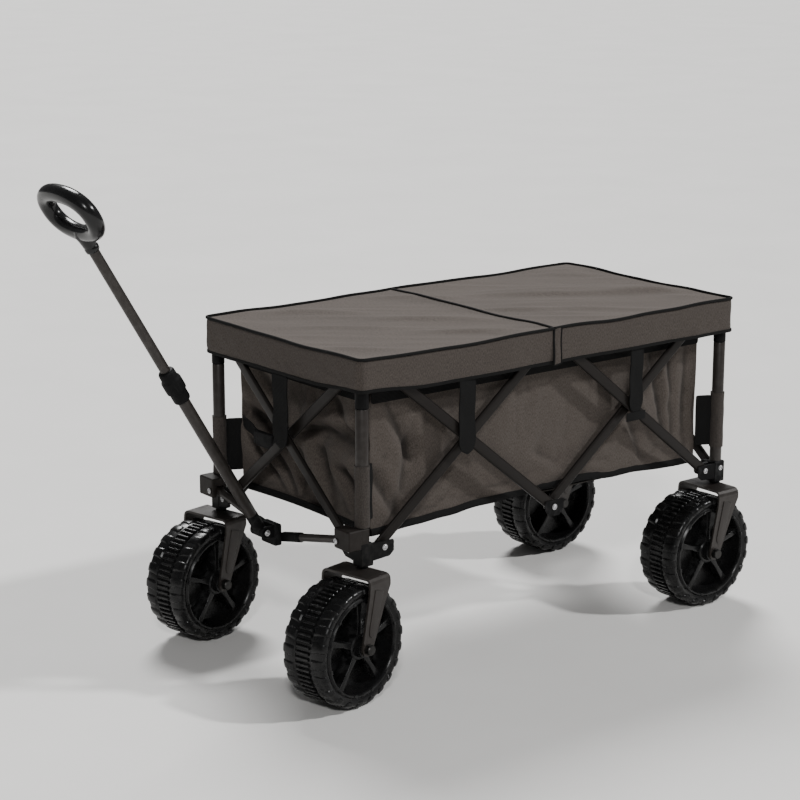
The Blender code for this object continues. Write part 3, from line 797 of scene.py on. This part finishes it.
def skirt_point(spot, travel, outward, share):
    """A point of the skirt: its share of the way down from spot, travel metres along the panel's edge."""
    out = 0.0022 * math.sin(share * math.pi) - 0.001 * share
    out += 0.004 * ripple((travel * 11, share * 1.4, 6), 31) * share
    out += 0.0018 * ripple((travel * 34, share * 2.0, 7), 32) * share
    point = spot + outward * out
    corner = Vector((spot.x - POST_X, spot.y - MID_Y + POST_Y)).length
    low = SKIRT_LOW + 0.0022 * ripple((travel * 8, 0, 9), 33)
    low += 0.0095 * math.exp(-((corner / 0.085) ** 2))
    point.z = spot.z + (low - spot.z) * share
    return point


def lid_mesh(end):
    """A cover panel as one cloth, its top and then its skirt, with the points of its edge, hem and seam."""
    start, stop = SEAM + end * 0.0008, end * COVER_Y
    columns, rows = 54, round(abs(stop - start) / CELL)
    wide = columns + 1
    verts, flat, faces = [], [], grid(rows, columns)
    for i in range(rows + 1):
        for j in range(wide):
            x, y = rounded(-COVER_X + 2 * COVER_X * j / columns, start + (stop - start) * i / rows)
            verts.append(at(x, y, lid_height(x, y)))
            flat.append((x, y))
    on_top = len(verts)
    run = [i * wide for i in range(rows + 1)]
    run += [rows * wide + j for j in range(1, wide)]
    run += [i * wide + columns for i in range(rows - 1, -1, -1)]
    spots = [verts[n].copy() for n in run]
    travelled = [0.0]
    for a, b in zip(spots, spots[1:]):
        travelled.append(travelled[-1] + (b - a).length)
    away = []
    for place in range(len(run)):
        ahead = spots[min(place + 1, len(run) - 1)] - spots[max(place - 1, 0)]
        away.append(sideward(ahead) * -end)
    previous = run
    for k in range(1, DROPS + 1):
        share = k / DROPS
        ring = list(range(len(verts), len(verts) + len(run)))
        for spot, travel, outward in zip(spots, travelled, away):
            verts.append(skirt_point(spot, travel, outward, share))
            flat.append((travel, HANGING_V + share * (COVER_TOP - SKIRT_LOW)))
        for a in range(len(run) - 1):
            faces.append((previous[a], previous[a + 1], ring[a + 1], ring[a]))
        previous = ring
    mesh = from_points("lid", verts, faces)
    layer = mesh.uv_layers.new(name="cut")
    reach = dict(zip(run, travelled))
    for face in mesh.polygons:
        skirt = max(face.vertices) >= on_top
        for loop in face.loop_indices:
            n = mesh.loops[loop].vertex_index
            layer.data[loop].uv = (reach[n], HANGING_V) if skirt and n < on_top else flat[n]
    return mesh, run, previous, list(range(wide)), on_top


def cover_panel(end, end_name):
    mesh, run, hem, seam, on_top = lid_mesh(end)
    obj = shown(f"cover_panel_{end_name}", mesh, COVER)
    pinned = sorted({*run, *seam, *hem})
    settle_cloth(obj, pinned, slack=0.0006, frames=16, gravity=1.0, stiff=14.0, bend=1.0)
    for vert in obj.data.vertices[:on_top]:
        spare = (vert.co.z - LID_LOWEST) / LID_EASE
        if spare < 1:
            vert.co.z = LID_LOWEST + LID_EASE * math.exp(spare - 1)
        vert.co.z += crease(vert.co.x, vert.co.y - MID_Y)
    edge, fold = ([obj.data.vertices[n].co + UP * 0.0006 for n in line] for line in (run, seam))
    low = [obj.data.vertices[n].co.copy() for n in hem]
    work = bmesh.new()
    work.from_mesh(obj.data)
    bmesh.ops.recalc_face_normals(work, faces=work.faces)
    if max(work.faces, key=lambda f: f.calc_center_median().z).normal.z < 0:
        bmesh.ops.reverse_faces(work, faces=work.faces)
    work.to_mesh(obj.data)
    work.free()
    thicken(obj, 0.0016)
    tapes = [merged(f"cover_piping_{end_name}", [tube(edge, 0.0027), tube(fold, 0.0021)], TAPE)]
    tapes.append(shown(f"cover_hem_{end_name}", hem_tape(low), TAPE))
    body = f"cover_{end_name}"
    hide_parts(body)
    carry(body, obj, *tapes)
    if end < 0:
        for piece in [obj] + tapes:
            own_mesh(piece)


def hem_tape(points):
    """A folded tape over a skirt's lower edge."""
    half = ((0.0015, 0.0042), (0.0018, 0.0), (0.0009, -0.0014))
    section = [(-half[0][0], half[0][1], half[0][1])] + [(out, up, up) for out, up in half]
    section += [(-out, up, up) for out, up in (half[2], half[1])]
    return swept("hem", points, section, lambda ahead: (sideward(ahead), UP))


def seam_flaps():
    """The short flap that closes the cover's mid seam over the skirt on each side."""
    width, tall = 0.017, 0.066
    for side, side_name in SIDES:
        def place(u, v):
            out = 0.232 + 0.0012 * math.sin(math.pi * u) + 0.001 * math.sin(v * 6 + u)
            return at(side * out, SEAM - 0.001 + width * u, 0.58 - (tall - 0.003 * u) * (1 - v))

        cloth = cloth_mesh(14, 5, place, lambda u, v: (u * width, HANGING_V + v * tall))
        flap = shown(f"cover_flap_{side_name}", cloth, COVER)
        face_out(flap, (side, 0, 0))
        thicken(flap, 0.0014)
        proud = Vector((side * 0.0004, 0, 0))
        runs = [tube([place(0.0, k / 12) + proud for k in range(13)], 0.0019)]
        runs.append(tube([place(1.0, k / 12) + proud for k in range(13)], 0.0013))
        runs.append(tube([place(k / 6, 0.0) for k in range(7)], 0.0012))
        edge = merged(f"cover_flap_edge_{side_name}", runs, TAPE)
        carry("cover_rear", flap, edge)


def floor_mats():
    """A pad in each half of the basket, sewn into four lengthwise channels."""
    width, span = 0.372, 0.378
    for end, end_name in ENDS:
        low = 0.2734 if end > 0 else 0.2784

        def place(u, v):
            channel = 0.5 - 0.5 * math.cos(2 * math.pi * u * 4)
            return at(width * (u - 0.5), end * (0.001 + span * v), low + 0.0014 * channel ** 0.4)

        cloth = cloth_mesh(20, 48, place, lambda u, v: (u * width, v * span))
        obj = shown(f"floor_pad_{end_name}", cloth, MAT)
        face_out(obj, UP)
        thicken(obj, 0.0022)
        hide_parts(f"floor_mat_{end_name}")
        gather(f"{end_name}_right_corner", ACROSS, obj)


# ---- frame

# each side's arms: their plane, and their lower and upper ends along the wagon and in height
SIDE_ARMS = {
    "rear_a": ("outer", (PIVOT_Y, LOW_Z), (0, HIGH_Z)),
    "rear_b": ("inner", (0, LOW_Z), (PIVOT_Y, HIGH_Z)),
    "front_a": ("inner", (-PIVOT_Y, LOW_Z), (0, HIGH_Z)),
    "front_b": ("outer", (0, LOW_Z), (-PIVOT_Y, HIGH_Z)),
}
# the planes of the bolt heads on the sides, on the ends, by the rear posts and ahead of the yoke
SIDE_BOLTS, END_BOLTS, POST_BOLTS, YOKE_BOLTS = 0.2242, 0.4299, 0.2251, -0.4574


def corners():
    """Each corner's side and end signs, its tag, and the place and swivel of its fork."""
    for side, side_name in SIDES:
        for end, end_name in ENDS:
            foot = Matrix.Translation(at(side * POST_X, end * POST_Y, 0))
            swivel = Matrix.Rotation(YAW if end < 0 else 0.0, 4, "Z")
            yield side, end, f"{end_name}_{side_name}", foot @ swivel


def arm_pieces():
    plans = []
    for side, side_name in SIDES:
        for name, (place, first, second) in SIDE_ARMS.items():
            x, normal = side * SIDE_PLANE[place], Vector((side, 0, 0))
            plans.append((f"arm_{side_name}_{name}", at(x, *first), at(x, *second), normal, place))
    for end, end_name in ENDS:
        for name, place, x in (("a", "outer", PIVOT_X), ("b", "inner", -PIVOT_X)):
            y, normal = end * END_PLANE[place], Vector((0, end, 0))
            plans.append((f"arm_{end_name}_{name}", at(x, y, LOW_Z), at(-x, y, HIGH_Z), normal, place))
    for name, start, end, normal, place in plans:
        line = end - start
        body = plate(capsule(line.length, 0.01), 0.008, seat(start, line, normal), 0.0038, 5)
        obj = shown(f"{name}_tube", body, ARM_PAINT, 60)
        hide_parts(name)
        carry(name, obj)
        if place == "outer":
            head = bolt((start + end) / 2 + normal * 0.004, normal, 0.0058, 0.0024)
            carry(name, shown(f"{name}_bolt", head, STEEL))


def hinge_bolts():
    for side, side_name in SIDES:
        for z, level in ((LOW_Z, "lower"), (HIGH_Z, "upper")):
            head = bolt(at(side * SIDE_BOLTS, 0, z), (side, 0, 0), 0.0048, 0.0026)
            obj = shown(f"mid_bolt_{side_name}_{level}", head, STEEL)
            carry(f"mid_joint_{side_name}_{level}", obj)
        for end, end_name in ENDS:
            heads = [bolt(at(side * SIDE_BOLTS, end * PIVOT_Y, LOW_Z), (side, 0, 0), 0.0046, 0.0026)]
            heads.append(bolt(at(side * PIVOT_X, end * END_BOLTS, 0.25), (0, end, 0), 0.0043, 0.0024))
            if end > 0:
                heads.append(bolt(at(side * POST_BOLTS, 0.419, LOW_Z), (side, 0, 0), 0.0043, 0.0024))
            else:
                heads.append(bolt(at(side * PIVOT_X, YOKE_BOLTS, 0.2705), (0, -1, 0), 0.0043, 0.002))
            tag = f"{end_name}_{side_name}"
            carry(f"{tag}_corner", merged(f"corner_bolts_{tag}", heads, STEEL))


def posts():
    for side, end, tag, matrix in corners():
        foot = matrix.to_translation()
        base = 0.2672 if end > 0 else 0.293
        profile = [(0.0094, 0.495), (0.0104, 0.495), (0.011, 0.494), (0.011, base), (0.0094, base)]
        post = shown(f"post_tube_{tag}", turned(profile, Matrix.Translation(foot), 48, ring=True), PAINT)
        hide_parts(f"post_{tag}")
        carry(f"{tag}_corner", post)
        sleeve(side, end, tag, foot)


def sleeve(side, end, tag, foot):
    """The basket's corner sleeve around the post, with its stitched webbing tab."""
    toward = Vector((-side * 0.0165, -end * 0.03, 0)).normalized()
    start = math.atan2(toward.y, toward.x)
    around, tall = 0.08, 0.105
    tab_wide, tab_tall = 0.03, 0.096

    def round_post(u, v):
        angle = start + 2 * math.pi * u
        x, y = math.cos(angle), math.sin(angle)
        radius = 0.0128 + 0.0009 * ripple((x * 2, y * 2, v * 5), 40) + 0.0005 * (v ** 8 + (1 - v) ** 8)
        return foot + Vector((x * radius, y * radius, 0.2942 + tall * v))

    cloth = cloth_mesh(24, 40, round_post, lambda u, v: (u * around, v * tall))
    wrap = shown(f"sleeve_{tag}", cloth, SLEEVE)
    if wrap.data.polygons[0].normal.dot(wrap.data.polygons[0].center - foot) < 0:
        wrap.data.flip_normals()
    thicken(wrap, 0.0012)
    across = toward.cross(UP)

    def tab_place(u, v):
        wave = 0.0007 * math.sin(v * 8 + u * 2)
        return foot + toward * (0.012 + tab_wide * u) + across * wave + UP * (0.2975 + tab_tall * v)

    cloth = cloth_mesh(20, 4, tab_place, lambda u, v: (v * tab_tall, u * tab_wide))
    tab = shown(f"sleeve_tab_{tag}", cloth, TAPE)
    thicken(tab, 0.002)
    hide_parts(f"post_wrap_{tag}")
    carry(f"{tag}_corner", wrap, tab)


def cad_materials():
    """Finish the CAD nodes that stay in view."""
    bracket = two_tone("bracket_front_v", (0.0042, 0.0042, 0.0044), (0.021, 0.0178, 0.0162))
    looks = {"fork": PAINT, "axle": DARK_STEEL}
    looks.update(dict.fromkeys(("top_bracket", "mid_joint", "handle_hub"), PLASTIC))
    for name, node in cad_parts.items():
        material = next((m for key, m in looks.items() if name.startswith(key)), None)
        if name.startswith("lower_bracket"):
            material = bracket if "front" in name else PLASTIC
        if material is None:
            continue
        node.data.materials.clear()
        node.data.materials.append(material)
        if name.startswith(("lower_bracket", "fork", "top_bracket", "handle_hub")):
            soft = node.modifiers.new("soft_edges", "BEVEL")
            soft.width = 0.0005
            soft.segments = 2
            soft.limit_method = "ANGLE"
            soft.angle_limit = math.radians(50)


# ---- wheels

# half of the wheel's section as (radius, out from its middle): hub, dish, rim lip, shoulder and band
WHEEL_SECTION = (
    (0.006, 0.0488), (0.0115, 0.049), (0.015, 0.048), (0.016, 0.044), (0.019, 0.016),
    (0.03, 0.012), (0.06, 0.011), (0.073, 0.013), (0.077, 0.02), (0.0785, 0.038),
    (0.0795, 0.0425), (0.0815, 0.0446), (0.0835, 0.0448), (0.0848, 0.0432), (0.0862, 0.0418),
    (0.0885, 0.0424), (0.0915, 0.0436), (0.095, 0.044), (0.0985, 0.043), (0.1006, 0.0408),
    (0.1018, 0.0375), (0.1022, 0.03), (0.1022, 0.018), (0.1016, 0.0158), (0.1002, 0.015),
    (0.1, 0.014),
)
# a lug's middle line over the tyre's shoulder, as (out from the wheel's middle, radius)
LUG_PATH = (
    (0.0172, 0.102), (0.0205, 0.1022), (0.026, 0.1022), (0.032, 0.102), (0.0372, 0.1013),
    (0.0405, 0.1002), (0.0426, 0.0985), (0.0437, 0.096), (0.044, 0.0935), (0.0438, 0.091),
)
# the tread's ribs: angle that one spans, half of its length, and its lowest and highest radius
RIB_SPREAD, RIB_HALF, RIB_LOW, RIB_HIGH = 0.056, 0.014, 0.0999, 0.1044
RIB_SECTION = (
    (-1.0, RIB_LOW), (-0.62, RIB_HIGH - 0.0003), (-0.45, RIB_HIGH),
    (0.45, RIB_HIGH), (0.62, RIB_HIGH - 0.0003), (1.0, RIB_LOW),
)
RIBS, LUGS, LUG_REACH = 64, 22, 0.104
# the spokes of a dish, and the clips on its rim lip with the radius that they stand on
SPOKES, CLIPS, CLIP_R = 5, 12, 0.0822
SPOKE_OUT, CLIP_OUT, RING_OUT = 0.0235, 0.044, 0.02
# outlines of a spoke and a clip, and the profile of the ring round the hub
SPOKE = ((0.012, -0.007), (0.045, -0.004), (0.079, -0.0062), (0.079, 0.0062), (0.045, 0.004), (0.012, 0.007))
CLIP = ((-0.0022, -0.0032), (0.0022, -0.0032), (0.0022, 0.0032), (-0.0022, 0.0032))
HUB_RING = ((0.015, 0.0), (0.015, 0.0165), (0.017, 0.018), (0.0205, 0.018), (0.0225, 0.016), (0.023, 0.0))


def sideways(x, y, z, side=1):
    """A seat at a place that faces the right, or the left for a side of -1."""
    return seat(Vector((x, y, z)), (0, 0, 1), (side, 0, 0))


def wheel_mesh():
    """The moulded wheel about +X at the origin: tyre, tread, lips, dish, spokes and hub."""
    profile = list(WHEEL_SECTION) + [(r, -h) for r, h in reversed(WHEEL_SECTION)]
    return joined("wheel_full", [turned(profile, sideways(0, 0, 0), 96, ring=True), *spokes(), tread()])


def lug(angle, side):
    """A smooth raised pad from beside the centre band over the tyre's shoulder, ending in a round tongue."""
    verts = []
    count, columns = len(LUG_PATH), 8
    for i, (x, radius) in enumerate(LUG_PATH):
        q = i / (count - 1)
        before, after = LUG_PATH[max(i - 1, 0)], LUG_PATH[min(i + 1, count - 1)]
        run, rise = after[0] - before[0], after[1] - before[1]
        long = math.hypot(run, rise)
        out_x, out_r = -rise / long, run / long
        tip = math.sqrt(max(0.0, 1 - max(0.0, (q - 0.62) / 0.38) ** 2.4))
        half = max(LUG_REACH * (1.0 - 0.12 * math.sin(math.pi * q)) * tip, 0.012)
        for k in range(columns + 1):
            p = 2 * k / columns - 1
            height = 0.0029 * (1 - abs(p) ** 6) * (1 - abs(2 * q - 1) ** 8)
            theta = angle + half * p + 0.03 * math.sin(q * 3.0)
            r, across = radius - 0.0004 + out_r * height, x - 0.0004 * out_x + out_x * height
            verts.append((side * across, r * math.sin(theta), r * math.cos(theta)))
    return from_points("lug", verts, grid(count - 1, columns))


def rib(angle):
    """A fine bevelled rib across the tread's centre band."""
    verts = []
    inset = RIB_HALF - 0.0008
    for x, drop in ((-RIB_HALF, 0.001), (-inset, 0.0), (inset, 0.0), (RIB_HALF, 0.001)):
        for share, radius in RIB_SECTION:
            theta = angle + RIB_SPREAD / 2 * share
            verts.append((x, (radius - drop) * math.sin(theta), (radius - drop) * math.cos(theta)))
    count = len(RIB_SECTION)
    ends = [tuple(range(count)), tuple(reversed(range(3 * count, 4 * count)))]
    return from_points("rib", verts, grid(3, count - 1) + ends)


def tread():
    """A channel of fine cross ribs between smooth shoulder lugs that fold over the tyre's edges."""
    meshes = [rib(2 * math.pi * i / RIBS) for i in range(RIBS)]
    for i in range(LUGS):
        meshes += [lug(2 * math.pi * (i + 0.25 * side) / LUGS, side) for side in (1, -1)]
    return mended(joined("tread", meshes))


def spokes():
    """Five narrow spokes in each dish, clips round the rim lip, and a hub ring."""
    meshes = []
    for side in (1, -1):
        facing = (side, 0, 0)
        for i in range(SPOKES):
            turn = math.radians(90 + 360 / SPOKES * i)
            line = Vector((0, math.cos(turn), math.sin(turn)))
            spot = Vector((side * SPOKE_OUT, 0, 0))
            meshes.append(plate(SPOKE, 0.025, seat(spot, line, facing), 0.0014, 2))
        for i in range(CLIPS):
            turn = 2 * math.pi * (i + 0.5) / CLIPS
            line = Vector((0, CLIP_R * math.cos(turn), CLIP_R * math.sin(turn)))
            spot = line + Vector((side * CLIP_OUT, 0, 0))
            meshes.append(plate(CLIP, 0.0032, seat(spot, line, facing), 0.0006, 2))
        ring = HUB_RING if side > 0 else [(r, -h) for r, h in reversed(HUB_RING)]
        meshes.append(turned(ring, sideways(side * RING_OUT, 0, 0), 40, ring=True))
    return meshes


def wheels():
    model = wheel_mesh()
    for _, _, tag, matrix in corners():
        mesh = model.copy()
        mesh.transform(matrix @ Matrix.Translation((0, -TRAIL, WHEEL_R)))
        obj = shown(f"wheel_full_{tag}", mesh, GLOSS, 35)
        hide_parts(f"wheel_{tag}")
        carry(f"wheel_{tag}", obj)


# the outline of the flange on a fork's leg, and the profile of an axle's nut
FLANGE = (
    (0, -0.0105), (0.07, -0.0085), (0.0775, -0.006), (0.0805, 0.0), (0.0775, 0.006), (0.07, 0.0085),
    (0, 0.0105),
)
NUT = ((0.0, 0.0078), (0.005, 0.0078), (0.0062, 0.0066), (0.008, 0.0046), (0.0083, 0.0), (0.0, 0.0))


def fork_details():
    """Reinforcing flanges and axle nuts on every fork."""
    for _, end, tag, matrix in corners():
        flanges, nuts = [], []
        for out in (1, -1):
            start = Vector((out * LEG_X, -0.02, 0.2))
            target = Vector((out * LEG_X, -TRAIL + 0.004, WHEEL_R))
            flanges.append(plate(FLANGE, 0.002, seat(start, target - start, (out, 0, 0)), 0.0008, 3))
            nuts.append(turned(NUT, sideways(out * 0.0556, -TRAIL, WHEEL_R, out), 24))
        for mesh in flanges + nuts:
            mesh.transform(matrix)
        body = tag.replace("front", "caster") if end < 0 else f"{tag}_corner"
        carry(body, merged(f"fork_rib_{tag}", flanges, PAINT), merged(f"axle_nut_{tag}", nuts, PLASTIC))


# ---- yoke and handle

# profiles about the tubes' own axes, as (radius, height)
YOKE_COLLAR = (
    (0.0, 0.006), (0.0078, 0.006), (0.0088, 0.0045), (0.0088, -0.0045), (0.0078, -0.006), (0.0, -0.006),
)
EYE = ((0.0, 0.0108), (0.0098, 0.0108), (0.0105, 0.01), (0.0105, -0.01), (0.0098, -0.0108), (0.0, -0.0108))
BOOT = ((0.0, 0.0), (0.0106, 0.0), (0.0108, 0.036), (0.0104, 0.038), (0.0, 0.038))
LOWER_TUBE = ((0.0, 0.012), (0.0094, 0.012), (0.0104, 0.014), (0.0104, 0.344), (0.0094, 0.345), (0.0, 0.345))
UPPER_TUBE = ((0.0, 0.31), (0.0088, 0.31), (0.0088, 0.64), (0.0, 0.64))
# the locking collar's heights are above its lower end
COLLAR_LOW, COLLAR_RIBS = 0.2954, 18
COLLAR = (
    (0.0, 0.0), (0.0122, 0.0), (0.014, 0.0015), (0.0148, 0.004), (0.0148, 0.019), (0.0155, 0.0205),
    (0.0172, 0.0225), (0.0175, 0.0245), (0.0175, 0.043), (0.017, 0.045), (0.0152, 0.047),
    (0.0146, 0.049), (0.0143, 0.0597), (0.013, 0.0622), (0.0112, 0.0632), (0.0, 0.0632),
)
# the grip: its neck's profile, its middle's height, the loop's half width and half height, and its radius
NECK = (
    (0.0, 0.6066), (0.0104, 0.6066), (0.0114, 0.6076), (0.012, 0.611), (0.012, 0.615), (0.0112, 0.616),
    (0.0112, 0.618), (0.0118, 0.6195), (0.012, 0.624), (0.0132, 0.633), (0.015, 0.642), (0.012, 0.65),
    (0.0, 0.65),
)
GRIP_UP, GRIP_WIDE, GRIP_TALL, GRIP_R = 0.6808, 0.0668, 0.0394, 0.0139


def yoke():
    for side, side_name in SIDES:
        start, end = at(side * PIVOT_X, YOKE_Y, 0.27), at(side * 0.0135, YOKE_Y, 0.232)
        line, length = (end - start).normalized(), (end - start).length
        rod = tube([start + line * 0.004, start + line * (length - 0.048)], 0.007, resolution=6)
        eye = plate(capsule(0.012, 0.007), 0.0132, seat(start, line, (0, -1, 0)), 0.0025)
        arm = merged(f"yoke_tube_{side_name}", [rod, eye], PAINT)
        socket = plate(capsule(0.05, 0.0078), 0.0135, seat(end, -line, (0, -1, 0)), 0.0022)
        collar = turned(YOKE_COLLAR, seat(end - line * 0.05, (0, 1, 0), line), 32)
        cap = merged(f"yoke_fitting_{side_name}", [socket, collar], PLASTIC)
        body = f"yoke_arm_{side_name}"
        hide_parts(body)
        carry(body, arm, cap)
    _, y, z = HANDLE_PIVOT
    heads = [bolt(at(side * 0.0205, y, z), (side, 0, 0), 0.0047, 0.002) for side, _ in SIDES]
    carry("handle_hub", merged("hub_bolts", heads, STEEL))


def handle():
    pivot = at(*HANDLE_PIVOT)
    up = Vector((0, -math.sin(LEAN), math.cos(LEAN)))
    across = seat(pivot, (1, 0, 0), up)
    lower = shown("handle_tube_lower", turned(LOWER_TUBE, across, 48), PAINT)
    boot = merged("handle_boot", [turned(BOOT, across, 40), turned(EYE, sideways(*pivot), 40)], PLASTIC)
    meshes = [turned([(r, COLLAR_LOW + h) for r, h in COLLAR], across, 48)]
    for i in range(COLLAR_RIBS):
        angle = 2 * math.pi * i / COLLAR_RIBS
        out = across.to_3x3() @ Vector((math.cos(angle), math.sin(angle), 0))
        base = pivot + up * (COLLAR_LOW + 0.0283) + out * 0.0166
        meshes.append(plate(capsule(0.011, 0.0009, 5), 0.0022, seat(base, up, out), 0.0004, 1))
    collar = merged("handle_clamp", meshes, PLASTIC)
    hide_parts("handle_lower_tube")
    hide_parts("handle_collar")
    carry("handle_lower", lower, boot, collar)
    upper = shown("handle_tube_upper", turned(UPPER_TUBE, across, 48), PAINT)
    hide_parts("handle_upper_tube")
    carry("handle_upper", upper)
    grip(pivot, up, across)


def grip(pivot, up, across):
    """The oval grip: a loop whose section is fuller at the top, on a flared neck."""
    centre = pivot + up * GRIP_UP
    points, radii = [], []
    count = 96
    for i in range(count):
        angle = 2 * math.pi * i / count
        flat = 1.0 + 0.03 * math.cos(2 * angle)
        x = GRIP_WIDE * math.copysign(abs(math.cos(angle)) ** 0.94, math.cos(angle))
        s = GRIP_TALL * flat * math.copysign(abs(math.sin(angle)) ** 0.9, math.sin(angle))
        points.append(centre + Vector((x, 0, 0)) + up * s)
        radii.append(1.0 + 0.05 * math.sin(angle))
    loop = tube(points, GRIP_R, closed=True, resolution=10, radii=radii)
    obj = merged("handle_grip_full", [loop, turned(NECK, across, 48)], GRIP, 60)
    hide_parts("handle_grip")
    carry("handle_upper", obj)


# ---- studio


def studio():
    mesh = from_points("floor", [(-30, -30, 0), (30, -30, 0), (30, 30, 0), (-30, 30, 0)], [(0, 1, 2, 3)])
    s = Shader("studio_floor", (0.8, 0.79, 0.77), 0.65, 0.0, 0.3)
    s.colour(s.ramp(s.noise(s.coords(), 2.5, 4.0), (0.3, (0.78, 0.77, 0.75)), (0.7, (0.82, 0.81, 0.79))))
    floor = shown("studio_floor", mesh, s.material)
    world = bpy.data.worlds.new("studio")
    world.use_nodes = True
    world.node_tree.nodes["Background"].inputs["Color"].default_value = (0.95, 0.95, 0.96, 1)
    world.node_tree.nodes["Background"].inputs["Strength"].default_value = 0.15
    bpy.context.scene.world = world
    sun("key", (1.0, 1.15, 1.25), 2.2, 4.0)
    sun("top", (-0.85, 0.45, 1.0), 3.1, 22.0)
    sun("front", (0.85, -0.65, 0.75), 1.2, 6.0)


def sun(name, toward, power, spread):
    data = bpy.data.lights.new(name, "SUN")
    data.energy = power
    data.angle = math.radians(spread)
    obj = bpy.data.objects.new(name, data)
    bpy.context.scene.collection.objects.link(obj)
    obj.rotation_euler = Vector(toward).to_track_quat("Z", "Y").to_euler()


def camera():
    data = bpy.data.cameras.new("camera")
    data.sensor_width = 36
    data.lens = 98.93
    data.clip_end = 100
    obj = bpy.data.objects.new("camera", data)
    bpy.context.scene.collection.objects.link(obj)
    place = Vector((2.9964, MID_Y - 2.5217, 1.3708))
    target = Vector((0, MID_Y - 0.1724, 0.4317))
    obj.location = place
    obj.rotation_euler = (target - place).to_track_quat("-Z", "Y").to_euler()
    bpy.context.scene.camera = obj


camera()
studio()
arm_pieces()
hinge_bolts()
posts()
cad_materials()
wheels()
fork_details()
yoke()
handle()
basket()
straps()
cover_panel(1, "rear")
cover_panel(-1, "front")
seam_flaps()
floor_mats()
